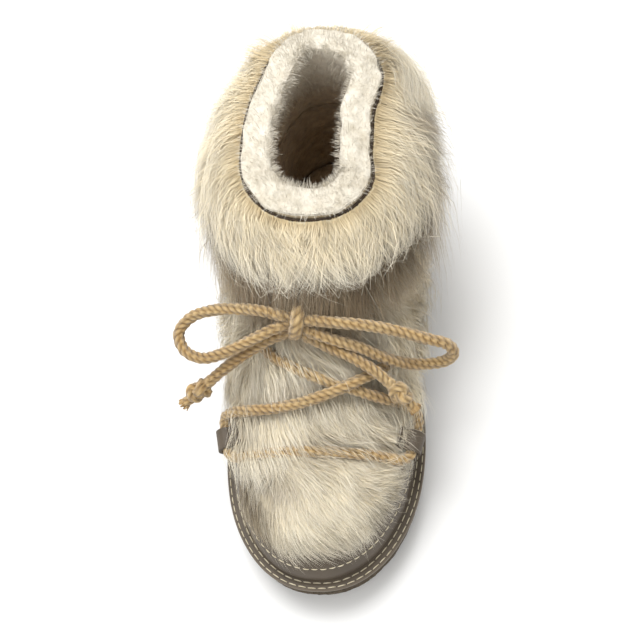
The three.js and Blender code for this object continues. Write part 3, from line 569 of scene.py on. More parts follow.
WRAP = behind_toe(
    (-12.8, 123, 103.8), (-21, 135, 106), (-32.5, 149, 107.5), (-41.8, 165, 107.5), (-46.3, 184.5, 107),
    (-44, 204, 106), (-40, 223.5, 106), (-34, 241, 105.5), (-25, 255, 105.3), (-13.5, 264.3, 105.2),
    (0, 267.5, 105.1), (13.5, 264.3, 105.2), (26, 255.2, 105.2), (35, 241, 105.2), (39.6, 223.5, 105.6),
    (40.4, 204, 106), (44.5, 184.5, 107), (41.5, 165, 107.5), (32.5, 149, 107.5), (19, 134, 106),
    (4, 124, 104.7), (-2.4, 121.6, 104.3),
)
LATERAL_LOOP = behind_toe(
    (-15.5, 116.2, 110.5), (-23, 118.2, 111), (-35.5, 120.8, 108.5), (-50.5, 122.5, 104),
    (-63.5, 121, 98.5), (-70, 114.5, 94), (-67, 106.5, 90.5), (-57.5, 102, 90.5), (-45.5, 103, 94.5),
    (-32.5, 106.5, 100.5), (-22, 110, 105), (-15.8, 112.5, 106),
)
MEDIAL_LOOP = behind_toe(
    (-0.6, 114, 109.5), (13.5, 112.5, 110), (28, 112, 108), (43, 111, 103.5), (57.5, 109.5, 98),
    (66, 109, 94), (69.5, 108, 86.5), (66, 107, 79), (57.5, 106.5, 75.5), (47.5, 105, 78.5), (36, 104, 87),
    (22.5, 105.8, 96.5), (8, 108, 102), (-0.8, 110.5, 103.5),
)
LATERAL_END = behind_toe(
    (-14.4, 112, 99.5), (-24, 109.5, 95.5), (-36.5, 104.5, 89), (-48.5, 99, 81.5), (-56.4, 94.8, 75.7),
)
MEDIAL_END = behind_toe(
    (-3.1, 110.8, 98), (7, 106.5, 95.5), (19, 102, 92.8), (30, 97, 88), (38.2, 92.2, 82.3),
)
KNOT, LATERAL_STOP, MEDIAL_STOP = behind_toe((-8.2, 115.7, 105), (-61.3, 91.9, 72.3), (42.6, 89, 78.1))

BRAID_SIDES = 18
BRAID_STEP = 0.0008
BRAID_COLUMNS = 3
BRAID_PITCH = 0.0040
BRAID_SLANT = 0.7
BRAID_DEPTH = 0.0008
BRAID_TWIST = 0.11  # metres for one slow turn of the whole cord


def through(points, steps=24):
    """A centripetal curve through points, as many short steps."""
    p = np.array(points, float)
    p = np.concatenate([[2 * p[0] - p[1]], p, [2 * p[-1] - p[-2]]])
    knots = np.maximum(np.linalg.norm(np.diff(p, axis=0), axis=1), 1e-6) ** 0.5
    out = []
    for i in range(1, len(p) - 2):
        d0, d1, d2 = knots[i - 1], knots[i], knots[i + 1]
        t1 = ((p[i] - p[i - 1]) / d0 - (p[i + 1] - p[i - 1]) / (d0 + d1) + (p[i + 1] - p[i]) / d1) * d1
        t2 = ((p[i + 1] - p[i]) / d1 - (p[i + 2] - p[i]) / (d1 + d2) + (p[i + 2] - p[i + 1]) / d2) * d1
        t = np.linspace(0, 1, steps, endpoint=False)[:, None]
        a, b = p[i], p[i + 1]
        cubic = (2 * a - 2 * b + t1 + t2) * t**3 + (3 * b - 3 * a - 2 * t1 - t2) * t**2 + t1 * t + a
        out.append(cubic)
    out.append(p[-2][None])
    return np.concatenate(out)


def evenly(path, step):
    """The same path in equal steps, with the distance run at each point."""
    run = np.append(0, np.cumsum(np.linalg.norm(np.diff(path, axis=0), axis=1)))
    count = max(3, int(round(run[-1] / step)) + 1)
    at = np.linspace(0, run[-1], count)
    return np.stack([np.interp(at, run, path[:, k]) for k in range(3)], axis=-1), at


def frames(path):
    """Directions along the path and two across it that turn as little as they can."""
    tangent = unit(np.gradient(path, axis=0))
    side = np.cross(tangent[0], (0, 0, 1))
    if np.linalg.norm(side) < 0.1:
        side = np.cross(tangent[0], (0, 1, 0))
    sides = []
    for t in tangent:
        side = unit(side - t * (side @ t))
        sides.append(side)
    sides = np.array(sides)
    return tangent, sides, np.cross(tangent, sides)


def swept(path, turn, radius):
    """A skin round a path, closed at both ends: turn and radius place each point of each ring."""
    _, a, b = frames(path)
    rings, sides = turn.shape
    ring = np.cos(turn)[..., None] * a[:, None] + np.sin(turn)[..., None] * b[:, None]
    points = (path[:, None] + ring * radius[..., None]).reshape(-1, 3)
    points = np.concatenate([points, path[:1], path[-1:]])
    faces = [grid_faces(rings, sides)]
    i = np.arange(sides)
    for row, tip in ((0, rings * sides), (rings - 1, rings * sides + 1)):
        fan = np.stack([row * sides + i, row * sides + (i + 1) % sides, np.full(sides, tip)], -1)
        faces.append(fan[:, ::-1] if row else fan)
    return points, faces


def tube(path, radius, sides):
    """A plain round yarn or thread."""
    turn = np.broadcast_to(turns(sides), (len(path), sides))
    return swept(path, turn, np.broadcast_to(radius, len(path))[:, None])


def braid(path, thickness=1.0):
    """A plaited cord along a path: columns of leaning stitches that interlock down its length."""
    path, run = evenly(path, BRAID_STEP)
    turn = turns(BRAID_SIDES)[None, :] + (2 * np.pi * run / BRAID_TWIST)[:, None]
    place = (turns(BRAID_SIDES)[None, :] * BRAID_COLUMNS / (2 * np.pi)) % 1 * 2 - 1
    place = np.broadcast_to(place, turn.shape)
    phase = run[:, None] / BRAID_PITCH + BRAID_SLANT * np.abs(place) + 0.5 * (place > 0)
    rise = np.abs(np.sin(np.pi * phase)) ** 0.7
    across = np.sqrt(np.clip(1 - (2 * np.abs(place) - 1) ** 2, 0, 1)) ** 0.6
    relief = rise * (0.5 + 0.5 * across)
    radius = CORD_DIAMETER / 2 * thickness * 1.05 - BRAID_DEPTH * (1 - relief)
    points, faces = swept(path, turn, radius)
    values = {"relief": relief, "lay": phase + np.abs(place), "around": place}
    return points, faces, {key: np.append(value.ravel(), (0.5, 0.5)) for key, value in values.items()}


def cord_piece(name, parts, node):
    points, faces, values = joined(parts)
    return make(name, points, faces, CORD, values, (node,))


def free_cord(name, route, node):
    """A stretch of the bow, as a piece of braided cord."""
    piece = cord_piece(name, [braid(through(route))], node)
    return piece


KNOT_TURN = 0.00150  # half the width of the overhand knot's turns
TAIL_END = 0.0110  # how far the cut tail reaches past the knot's middle
YARNS = 60
YARN_RADIUS = 0.00036


def stop_knot(name, centre, from_point, node):
    """An overhand knot tied in the cord's end, with its cut tail frayed into yarns."""
    centre, along = np.array(centre), unit(np.array(centre) - np.array(from_point))
    side = unit(np.cross(along, (0, 0, 1)))
    up = np.cross(side, along)
    t = np.linspace(0, 2 * np.pi, 90)
    knot = np.stack([np.sin(t) + 2 * np.sin(2 * t), np.cos(t) - 2 * np.cos(2 * t), -1.2 * np.sin(3 * t)], -1)
    knot = knot * KNOT_TURN
    path = centre + knot[:, :1] * along + knot[:, 1:2] * up + knot[:, 2:] * side
    lead = np.linspace(np.array(from_point) - along * 0.003, centre, 12)
    tail = np.linspace(centre + along * 0.003, centre + along * TAIL_END, 8)
    parts = [braid(path), braid(lead), braid(tail, 0.95)]
    rng = np.random.default_rng(7)
    for _ in range(YARNS):
        turn, reach = rng.uniform(0, 2 * np.pi), rng.uniform(0, 1) ** 0.5
        across = (np.cos(turn) * side + np.sin(turn) * up) * reach
        steps = np.linspace(0, 1, 4)[:, None]
        length = rng.uniform(0.0016, 0.003)
        spread = across * 0.0026 + across * steps * 0.0009 * rng.uniform(0.5, 1.3)
        yarn = centre + along * (TAIL_END - 0.0008 + length * steps) + spread
        points, faces = tube(yarn, YARN_RADIUS, 5)
        filled = np.full(len(points), rng.uniform(0.2, 0.75))
        parts.append((points, faces, {"relief": filled, "lay": filled, "around": filled}))
    return cord_piece(name, parts, node)


def bow_knot():
    """The strand wrapped round the bow's middle, over the strands that run together under it."""
    centre = np.array(KNOT)
    t = np.linspace(0, 2 * np.pi, 80)
    ring = centre + np.stack([0.0016 * np.sin(t), 0.0056 * np.cos(t), 0.0074 * np.sin(t)], -1)
    parts = [braid(ring, 1.2)]
    for route, share in ((LATERAL_LOOP, 0.5), (LATERAL_LOOP[::-1], 0.2), (LATERAL_END, -0.5),
                         (MEDIAL_LOOP, 0.5), (MEDIAL_LOOP[::-1], 0.2), (MEDIAL_END, -0.5)):
        start = np.array(route[0])
        outer = start + unit(np.array(route[1]) - start) * 0.0015
        inner = centre + (start - centre) * (0.1, 0.3, 0.3) + (0, 0, 0.004 * share)
        parts.append(braid(through([outer, start, start * 0.55 + inner * 0.45, inner]), 1.01))
    return cord_piece("bow_knot_strand", parts, "bow_knot")


def cords():
    bow_knot()
    cord_piece("lace_over_instep", [braid(through(r)) for r in (MEDIAL_CROSSING, BAR, LATERAL_CROSSING)],
               "lace_crossings")
    cord_piece("lace_round_ankle", [braid(through(WRAP))], "lace_wrap")
    free_cord("bow_lateral_loop", LATERAL_LOOP, "bow_loop_lateral")
    free_cord("bow_medial_loop", MEDIAL_LOOP, "bow_loop_medial")
    lateral = stop_knot("cord_knot_lateral", LATERAL_STOP, LATERAL_END[-1], "end_knot_lateral")
    medial = stop_knot("cord_knot_medial", MEDIAL_STOP, MEDIAL_END[-1], "end_knot_medial")
    free_cord("bow_lateral_end", LATERAL_END, "bow_end_lateral")
    free_cord("bow_medial_end", MEDIAL_END, "bow_end_medial")


cords()


# Sole, leather and lining

def outsole():
    """Crepe sole: smooth outline, crumbly side, bevelled foot, and bars across the tread."""
    lug_depth, bevel, step, lip, margin = 0.004, 0.003, 0.0012, 0.005, 0.007
    turn = turns(360)

    def ring(inset, height):
        x, y = outline(turn, SOLE_INSET + inset)
        return np.stack([x, y, height(y)], -1)

    under = lambda y: sole_bottom(y) + lug_depth
    rows = [ring(inset, under) for inset in (0.045, 0.03, 0.015, bevel + 0.004)]
    for share in np.linspace(0, 1, 5):
        curve = share * np.pi / 2
        rows.append(ring(bevel * (1 - np.sin(curve)), lambda y: under(y) + bevel * (1 - np.cos(curve))))
    for share in np.linspace(0.1, 1, 8):
        rows.append(ring(0, lambda y: under(y) + bevel + share * (sole_top(y) - lip - under(y) - bevel)))
    rows.append(ring(step * 0.5, lambda y: sole_top(y) - lip + step * 0.35))
    rows.append(ring(step, lambda y: sole_top(y) - lip + step))
    rows += [ring(step, lambda y: sole_top(y) - (1 - s) * (lip - step)) for s in (0.5, 1)]
    rows += [ring(inset, sole_top) for inset in (0.004, 0.015, 0.045)]
    points = np.array(rows)
    crumbs = 0.00028 * noise(points, 0.0022, 3) + 0.00022 * noise(points, 0.0011, 4)
    out = points - (0, 0, 0.01)
    out[..., 2] = 0
    points = points + unit(out) * crumbs[..., None]
    count, across = points.shape[:2]
    parts = [(points, [grid_faces(count, across)] + closed_off(count, across), {})]
    length, pitch = 0.008, 0.014
    each = int((SOLE_LENGTH / 2 - margin - length / 2) / pitch)
    for i in range(-each, each + 1):
        y = i * pitch
        if profile["arch"](share_from_heel(y)) < 0.5:
            parts.append(lug(y, length, margin, lug_depth, i))
    points, faces, _ = joined(parts)
    make("crepe_outsole", points, faces, CREPE, replaces=("outsole",))


LUG_POINTS = 40


def lug(y, length, margin, depth, seed):
    """One bar of the tread, ending on the sole's own outline."""
    turn = turns(720)
    x, edge = outline(turn, margin)
    medial = turn < np.pi

    def half(at, side):
        where = np.argsort(edge[side])
        return np.interp(at, edge[side][where], np.abs(x[side][where]))

    rows = []
    for inset, rise in ((0.0, depth), (0.0, 0.0006), (0.0006, 0.0)):
        for at, way in ((y - length / 2 + inset, 1), (y + length / 2 - inset, -1)):
            right, left = half(at, medial) - inset, half(at, ~medial) - inset
            line = np.linspace(right, -left, LUG_POINTS)[::way]
            place = np.full(LUG_POINTS, at)
            rows.append(np.stack([line, place, sole_bottom(place) + rise], -1))
    around = 2 * LUG_POINTS
    points = np.array(rows).reshape(3, around, 3)
    points = points + 0.0002 * noise(points, 0.003, seed + 20)[..., None] * (1, 1, 0)
    i = np.arange(LUG_POINTS - 1)
    tread = np.stack([i, i + 1, around - 2 - i, around - 1 - i], -1) + 2 * around
    return points, [grid_faces(3, around)[:, ::-1], tread], {}


RAND_ROWS = 40
FLANGE_INSET = 0.0002
FLANGE_HEIGHT = 0.0033
FLANGE_SEAMS = (0.3, 0.75)  # where the two rows of stitches run, as shares across the flange
SEAM_DENT = 0.00025
SEAM_LEVEL = 1.95
CREASES = (  # soft troughs across the rand: angle and width in degrees, depth in metres
    (118, 4.5, 0.0011), (127, 3.5, 0.0008), (108, 5, 0.0007),
    (241, 4.5, 0.0011), (232, 3.5, 0.0008), (252, 5, 0.0007),
    (20, 6, 0.0006), (338, 6, 0.0006),
)


# The flange from the rand's foot over its edge to its underside: share across, height and wear
FLANGE = (
    (0.0, FLANGE_HEIGHT + 0.004, 0), (0.06, FLANGE_HEIGHT + 0.002, 0), (0.16, FLANGE_HEIGHT + 0.00067, 0),
    (FLANGE_SEAMS[0], FLANGE_HEIGHT - SEAM_DENT, 0.15), (0.45, FLANGE_HEIGHT, 0.15),
    (0.6, FLANGE_HEIGHT, 0.15), (FLANGE_SEAMS[1], FLANGE_HEIGHT - SEAM_DENT, 0.15),
    (0.88, FLANGE_HEIGHT, 0.15), (0.97, FLANGE_HEIGHT - 0.0003, 0.7), (1.0, FLANGE_HEIGHT - 0.0011, 1),
    (1.0, 0.0010, 0.4), (0.97, GAP, 0), (0.3, GAP, 0),
)


def creased(angle, level):
    """How far the rand sinks or swells at a point."""
    degrees = np.degrees(angle) % 360
    lean = degrees + 3 * (level - 1.5)
    sink = 0
    for centre, width, depth in CREASES:
        away = np.abs((lean - centre + 180) % 360 - 180) / width
        sink = sink - depth * np.exp(-away**2) + 0.45 * depth * np.exp(-((away - 1.9) ** 2))
    swell = 0.00035 * noise(skin(angle, level), 0.018, 5)
    edge = smooth(0, 0.8, level) * (1 - smooth(2.6, 3, level))
    return (sink + swell) * edge


def flange_point(angle, share, height):
    """A point of the turned-out leather: share 0 at the rand's foot, 1 at the flange's edge."""
    foot_point = off(angle, 0.35, LAYER_GAP + RAND_THICKNESS)
    x, y = outline(angle, FLANGE_INSET)
    edge = np.stack([x, y, sole_top(y)], -1)
    point = foot_point + (edge - foot_point) * share
    point[..., 2] = sole_top(point[..., 1]) + height
    return point


def rand():
    """The taupe band around the foot, turned out at its foot into the stitched flange."""
    turn = turns(240)
    lift = LAYER_GAP + RAND_THICKNESS
    rows, wear = [], []

    def add(points, worn):
        rows.append(points)
        wear.append(np.full(len(turn), worn))

    for level, height, worn in ((2.7, LAYER_GAP, 0.2), (3.0, LAYER_GAP, 0.5), (3.0, lift - 0.0004, 0.8)):
        add(off(turn, level, height), worn)
    for level in np.linspace(2.97, 0.75, RAND_ROWS):
        add(off(turn, level, lift + creased(turn, level)), 0.5 * max(0, level - 2.8) / 0.2)
    for share, height, worn in FLANGE:
        add(flange_point(turn, share, height), worn)
    points = np.array(rows).reshape(-1, 3)
    faces = [grid_faces(len(rows), len(turn))[:, ::-1]]
    make("leather_rand", points, faces, LEATHER, {"wear": np.array(wear)}, ("rand", "welt"))


STITCH_LENGTH = 0.0040
STITCH_GAP = 0.0011
THREAD_RADIUS = 0.00030


def stitch(start, end, normal):
    """One stitch: a short thread that rises out of the leather and goes back into it."""
    t = np.linspace(0, 1, 5)[:, None]
    arch = np.sin(np.pi * t) ** 0.5
    path = start + (end - start) * t + normal * (arch * 1.3 - 0.6) * THREAD_RADIUS
    points, faces = tube(path, THREAD_RADIUS * (0.8 + 0.2 * arch[:, 0]), 5)
    return points, faces, {}


def stitch_row(path, normals, seed, length=STITCH_LENGTH, gap=STITCH_GAP):
    """Stitches along a line of points that closes on itself, each with the leather's own normal."""
    path, normals = (np.concatenate([line, line[:1]]) for line in (path, normals))
    run = np.append(0, np.cumsum(np.linalg.norm(np.diff(path, axis=0), axis=1)))
    count = int(run[-1] / (length + gap))
    pitch = run[-1] / count
    rng = np.random.default_rng(seed)
    parts = []
    place = lambda at, table: np.array([np.interp(at, run, table[:, k]) for k in range(3)])
    for i in range(count):
        jitter = rng.uniform(-0.0001, 0.0001, 3)
        a, b = i * pitch + gap / 2, (i + 1) * pitch - gap / 2
        parts.append(stitch(place(a, path) + jitter, place(b, path) + jitter, place((a + b) / 2, normals)))
    return parts


def seams():
    """Two rows of stitches on the flange and one under the fur's edge."""
    turn = turns(720)
    parts = []
    up = np.broadcast_to((0.0, 0.0, 1.0), (len(turn), 3))
    for seed, share in enumerate(FLANGE_SEAMS, 1):
        parts += stitch_row(flange_point(turn, share, FLANGE_HEIGHT - 0.0001), up, seed)
    levels = SEAM_LEVEL + 0.06 * np.cos(turn)
    lift = LAYER_GAP + RAND_THICKNESS + creased(turn, levels)
    out = skin_axes(turn, levels)[2]
    parts += stitch_row(off(turn, levels, lift), out, 3, length=0.0031, gap=0.0014)
    points, faces, _ = joined(parts)
    make("rand_stitches", points, faces, THREAD)


def upper():
    turn = turns(80)
    levels = np.linspace(0, 11, 26)
    outer = [off(turn, level, 0) for level in levels]
    inner = [off(turn, level, -UPPER_WALL) for level in levels[::-1]]
    hoop("hide_upper", outer + inner, HIDE, "upper")


# The lining's section at the collar: levels, how far from the hide as a share of the wool, and how much
# painted shade
RIM = (
    (0, 0, 0), (8, 0, 0), (10, 0, 0), (11, 0, 0), (11.04, -0.24, 0), (11.2, -0.345, 0), (11.6, -0.32, 0),
    (11.9, -0.14, 0), (12, 0.08, 0), (12, 0.3, 0), (12, 0.5, 0), (11.95, 0.66, 0.02), (11.75, 0.78, 0.05),
    (11.4, 0.81, 0.12), (11, 0.82, 0.22), (10.5, 0.82, 0.38), (10, 0.82, 0.56), (9.5, 0.83, 0.74),
    (9, 0.85, 0.88), (8.5, 0.9, 0.96), (8, 0.92, 1), (7, 0.96, 1), (6, 1, 1), (5, 1, 1), (4, 1, 1),
    (3, 1, 1), (2, 1, 1), (1, 1, 1), (0.2, 1, 1),
)
RIM_SWELL = 0.0022


def lining_point(angle, place):
    """A point of the lining's face at a place along its section, and its shade."""
    rows = np.array(RIM, float)
    at = np.arange(len(rows))
    level, depth, shade = (np.interp(place, at, rows[:, k]) for k in range(3))
    thick = FOOT_WOOL + (COLLAR_WOOL - FOOT_WOOL) * smooth(7, 11, level)
    lift = -UPPER_WALL - WOOL_GAP - thick * depth
    point = off(angle, level, lift)
    # Less painted shade on the back wall inside the collar, so it stays light deeper down.
    shade = shade * (1 - 0.4 * smooth(0.1, 0.9, np.cos(angle)) * smooth(8.5, 9.5, level))
    crown = np.where(level > 11, np.sin(np.pi * np.clip(depth, 0, 1)), 0)
    point[..., 2] = point[..., 2] + RIM_SWELL * crown
    return point, shade


def lining_faces(place, angle):
    """Normals of the lining's face, pointing into the open."""
    da = lining_point(angle + 0.03, place)[0] - lining_point(angle - 0.03, place)[0]
    dp = lining_point(angle, place + 0.15)[0] - lining_point(angle, place - 0.15)[0]
    return unit(np.cross(dp, da))


WOOL_TUFTS = 9000


def lining():
    """Sheared wool: a lumpy fleece, on which wool_fibres sets short curled fibres where it shows."""
    turn = turns(180)
    places = np.concatenate([np.linspace(0, 3, 6), np.linspace(3.2, len(RIM) - 1, 84)])
    angle, place = np.meshgrid(turn, places)
    points, shade = lining_point(angle, place)
    normal = lining_faces(place, angle)
    soft = smooth(3.5, 5, place)
    lumps = 0.0009 * noise(points, 0.007, 11) + 0.0005 * noise(points, 0.003, 12)
    points = points + normal * ((lumps - 0.0008) * soft)[..., None]
    shade = np.clip(shade - 0.12 * noise(points, 0.006, 13), 0, 1)
    hoop("wool_lining", points, WOOL, "lining", {"shade": shade})


def wool_fibres():
    """Short curled fibres on the fleece where it shows."""
    rng = np.random.default_rng(21)
    angle = rng.uniform(0, 2 * np.pi, WOOL_TUFTS)
    place = rng.uniform(5.2, 18.5, WOOL_TUFTS)
    root, shade = lining_point(angle, place)
    normal = lining_faces(place, angle)
    curl = np.stack([noise(root, 0.004, 30 + k) for k in range(3)], -1)
    curl = curl + 0.5 * rng.normal(size=curl.shape)
    length = rng.uniform(0.0022, 0.0042, WOOL_TUFTS)[:, None]
    steps = [root - normal * 0.001]
    for share in (0.4, 0.75, 1.0):
        steps.append(root + normal * length * (share - 0.35) * 0.9 + curl * length * 0.45 * share**1.5)
    paths = np.stack(steps, 1)
    facing = np.broadcast_to(normal[:, None], paths.shape)
    points, faces, along, normals = ribbons(paths, np.full(WOOL_TUFTS, 0.00022), rng, facing)
    # Painted shade, fading towards each fibre's tip.
    shade = np.clip(np.repeat(shade, len(points) // WOOL_TUFTS) - 0.2 * along, 0, 1)
    make("wool_fibres", points, faces, WOOL, {"shade": shade, "normal": normals}, ("lining",))


def insole():
    """The footbed, flat below and softly lumped on top."""
    turn = turns(160)
    lift = -UPPER_WALL - WOOL_GAP - FOOT_WOOL - INSOLE_CLEARANCE
    rim = off(turn, 0, lift)
    rows = []
    for share, height in ((0.3, GAP), (1.0, GAP), (1.0, INSOLE_THICKNESS - 0.001), (0.97, INSOLE_THICKNESS)):
        rows.append(rim * (share, share, 1) + (0, 0, height))
    for share in (0.9, 0.75, 0.6, 0.45, 0.3, 0.12):
        rows.append(rim * (share, share, 1) + (0, 0, INSOLE_THICKNESS))
    points = np.array(rows)
    for row in points:
        row[:, 2] += sole_top(row[:, 1]) - sole_top(rim[:, 1])
    points[4:, :, 2] += 0.0006 * noise(points[4:], 0.005, 9)
    faces = [grid_faces(len(rows), len(turn))] + closed_off(len(rows), len(turn))
    # Painted shade: the footbed, deep inside the boot, takes the wool's full shaded colour.
    shade = {"shade": np.ones(points.shape[:2])}
    make("wool_insole", points.reshape(-1, 3), faces, WOOL, shade, ("insole",))


def binding():
    """The thin dark edge round the collar, with the hide's pale cut edge outside it."""
    turn = turns(260)
    inner, outer = LAYER_GAP, LAYER_GAP + BINDING_THICKNESS
    wave = 0.00025 * noise(skin(turn, 11.0), 0.006, 41)
    rows = [off(turn, level, outer + wave) for level in (10.5, 10.7, 10.88)]
    rows += [off(turn, 10.97, outer - 0.0003 + wave), off(turn, 11.0, (inner + outer) / 2)]
    rows += [off(turn, 10.97, inner + 0.0002), off(turn, 10.8, inner), off(turn, 10.5, inner)]
    hoop("collar_edge", rows, BINDING, "collar_binding")


# Fur

def ribbons(paths, width, rng, facing, rounding=None):
    """Flat tapering hairs that lie on the coat, each rolled a little about its own line: points, faces, the
    share run and normals. facing is the way out of the coat, and rounding turns normals away from a lock."""
    count, steps = paths.shape[:2]
    tangent = unit(np.gradient(paths, axis=1))
    over = unit(facing - tangent * np.sum(facing * tangent, -1, keepdims=True))
    roll = rng.uniform(-0.6, 0.6, (count, 1, 1))
    side = np.cross(tangent, over) * np.cos(roll) + over * np.sin(roll)
    share = np.linspace(0, 1, steps)
    taper = np.where(share < 0.25, 0.7 + 1.2 * share, 1) * (1 - 0.55 * share)
    half = width[:, None, None] / 2 * taper[None, :, None]
    body = np.stack([paths[:, :-1] - (side * half)[:, :-1], paths[:, :-1] + (side * half)[:, :-1]], 2)
    points = np.concatenate([body.reshape(count, -1, 3), paths[:, -1:]], 1)
    normal = over + 0.22 * rng.normal(size=(count, 1, 3))
    if rounding is not None:
        normal = normal + rounding[:, None]
    normal = unit(normal)
    normals = np.concatenate([np.repeat(normal[:, :-1], 2, axis=1), normal[:, -1:]], 1)
    each = points.shape[1]
    k = np.arange(steps - 2) * 2
    quads = np.stack([k, k + 1, k + 3, k + 2], -1)
    tip = np.array([[each - 3, each - 2, each - 1]])
    start = (np.arange(count) * each)[:, None, None]
    faces = [(quads[None] + start).reshape(-1, 4), (tip[None] + start).reshape(-1, 3)]
    along = np.append(np.repeat(share[:-1], 2), 1.0)
    return points.reshape(-1, 3), faces, np.tile(along, count), normals.reshape(-1, 3)


def scatter(inside, count, rng, low, high, start=0.0, end=360.0):
    """Roots spread evenly over the part of the upper's face that a test lets in: angles and levels."""
    angle = np.radians(np.linspace(start, end, 361))
    level = np.linspace(low, high, 121)
    a, l = np.meshgrid((angle[1:] + angle[:-1]) / 2, (level[1:] + level[:-1]) / 2)
    _, _, _, around, up = skin_axes(a, l)
    area = (around * (angle[1] - angle[0]) * up * (level[1] - level[0]) * inside(a, l)).ravel()
    pick = rng.choice(len(area), count, p=area / area.sum())
    jitter = rng.uniform(-0.5, 0.5, (2, count))
    return (a.ravel()[pick] + jitter[0] * (angle[1] - angle[0]),
            l.ravel()[pick] + jitter[1] * (level[1] - level[0]))


def point_tree(points):
    tree = KDTree(len(points))
    for i, point in enumerate(points):
        tree.insert(point, i)
    tree.balance()
    return tree


PRESS_REACH = 0.0075
LACE_ROUTES = (MEDIAL_CROSSING, BAR, LATERAL_CROSSING, WRAP)
LACE = point_tree(np.concatenate([evenly(through(route), 0.002)[0] for route in LACE_ROUTES]))


def under_cord(points):
    """How near each point lies to the lace, from 0 to 1."""
    away = np.array([LACE.find(p)[2] for p in points])
    return np.exp(-((away / PRESS_REACH) ** 2))


def comb(angle, level, length, base, rise, settle, flow, steps, press=None):
    """Hair paths that leave the hide, swing over and lie along the boot, and the way out of the coat along
    them. flow gives the way around and up, settle how far the tips sink back, and press how firmly each hair
    is held down where it passes under a cord."""
    paths, facing = [], []
    a, l = angle.copy(), level.copy()
    for k in range(steps):
        t = k / (steps - 1)
        lift = (rise - base) * (1 - np.exp(-3.4 * t)) * (1 - settle * t * t)
        if press is not None:
            lift = lift * (1 - press * under_cord(off(a, l, 0.006)))
        paths.append(off(a, l, base + lift))
        _, up_way, out_way, around, up = skin_axes(a, l)
        facing.append(out_way + 0.8 * up_way)
        fa, fu = flow(a, l)
        step = length / (steps - 1) * np.clip(0.35 + 1.1 * t, 0, 1.15)
        a = a + fa * step / np.maximum(around, 0.01)
        l = np.clip(l + fu * step / np.maximum(up, 0.004), 0.2, TOP_LEVEL)
    return np.stack(paths, 1), np.stack(facing, 1)


def gathered(paths, hairs, pull, rng, keep):
    """Draws hairs together into locks towards their tips, and gives each hair's way out of its lock. keep is
    how much of their spread stays."""
    count, steps = paths.shape[:2]
    root = paths[:, 0]
    centres = rng.choice(count, max(2, int(count / hairs)), replace=False)
    wander = root + 0.0012 * rng.normal(size=root.shape)
    tree = point_tree(wander[centres])
    mine = centres[[tree.find(point)[1] for point in wander]]
    t = np.linspace(0, 1, steps)[None, :, None]
    lead = paths[mine]
    away = root - root[mine]
    away = away / np.maximum(np.linalg.norm(away, axis=-1, keepdims=True), 0.002)
    return paths + (lead - paths) * pull[:, None, None] * t**1.25 * (1 - keep), away


def patch(points, places):
    """How strongly each point lies in one of some given patches: angle, level, radius and strength."""
    total = np.zeros(len(points))
    for degrees, level, radius, strength in places:
        centre = off(np.radians(degrees), level, 0)
        away = np.linalg.norm(points - centre, axis=1) / radius
        total = np.maximum(total, strength * np.exp(-(away**2)))
    return total


LOOSE_SHARE = 0.09  # of the hairs, which stand out of their locks
HELD_DOWN = 0.88  # of its height, that a hair loses under the cord


def given(value, *place):
    """A value for each place, from a function or from one number for all."""
    return value(*place) if callable(value) else np.full(len(place[0]), float(value))


def fur(name, node, seed, count, area, length, rise, flow, tone, brown=0, held=0, base=0, width=0.00023,
        locks=(70, 8), steps=5, settle=0.12, ragged=0.0, over=0.8, tipped=0.0, shell=None):
    """One tier of fur as a piece: its hairs, and the felted undercoat that carries them."""
    rng = np.random.default_rng(seed)
    low, high, turn = area["low"], area["high"], area.get("turn", (0, 360))
    angle, level = scatter(area["inside"], count, rng, low, high, *turn)
    root = off(angle, level, 0)
    long = length(angle, level, root) * rng.uniform(0.72 - ragged, 1.12 + ragged, count)
    high = rise(angle, level, root) * rng.uniform(0.25, 1.08, count) ** 0.8
    loose = rng.uniform(0, 1, count) < LOOSE_SHARE
    stray = rng.uniform(1.08, 1.36, count)
    long = np.where(loose, long * stray, long)
    high = np.where(loose, high * stray, high)
    start = given(base, angle, level)
    drift = 0.5 * noise(root, 0.028, seed) + 0.4 * noise(root, 0.012, seed + 3)
    drift = drift + 0.2 * noise(root, 0.005, seed + 1) + 0.13 * rng.normal(size=count)

    def turned(a, l):
        fa, fu = flow(a, l, root)
        cos, sin = np.cos(drift), np.sin(drift)
        return fa * cos - fu * sin, fa * sin + fu * cos

    firm = given(held, angle, level)
    under = rng.uniform(0, 1, count) < firm + 0.4 * noise(root, 0.011, seed + 9)
    press = np.where(firm > 0, np.where(under, HELD_DOWN, -over), 0)
    paths, facing = comb(angle, level, long, start, start + high, settle, turned, steps, press)
    pull = np.where(loose, 0.15, rng.uniform(0.3, 0.85, count))
    paths, tuft = gathered(paths, locks[0], pull, rng, 0.4)
    paths, lock = gathered(paths, locks[1], pull, rng, 0.3)
    t = np.linspace(0, 1, steps)[None, :, None]
    paths = paths + rng.normal(size=(count, 1, 3)) * 0.0010 * t**1.5
    widths = width * rng.uniform(0.6, 1.2, count)
    points, faces, along, normals = ribbons(paths, widths, rng, facing, 0.45 * tuft + 0.3 * lock)
    each = len(points) // count
    lock_shade = np.clip(0.5 + 0.5 * noise(root, 0.005, seed + 5), 0, 1)
    streak = 0.22 * noise(root, 0.008, seed + 7) + 0.14 * noise(root, 0.003, seed + 11)
    grey = tone(angle, level, root) + streak + rng.uniform(-0.16, 0.16, count)
    values = {
        "along": along,
        "vary": np.repeat(0.6 * rng.uniform(0, 1, count) + 0.4 * lock_shade, each),
        "tone": np.clip(np.repeat(grey, each) * (1 - tipped + 2 * tipped * along), 0, 1),
        "brown": np.repeat(np.clip(given(brown, angle, level, root), 0, 1), each),
        "normal": normals,
    }
    parts = [(points, faces, values)] + ([shell] if shell else [])
    points, faces, values = joined(parts)
    make(name, points, faces, FUR, values, (node,))


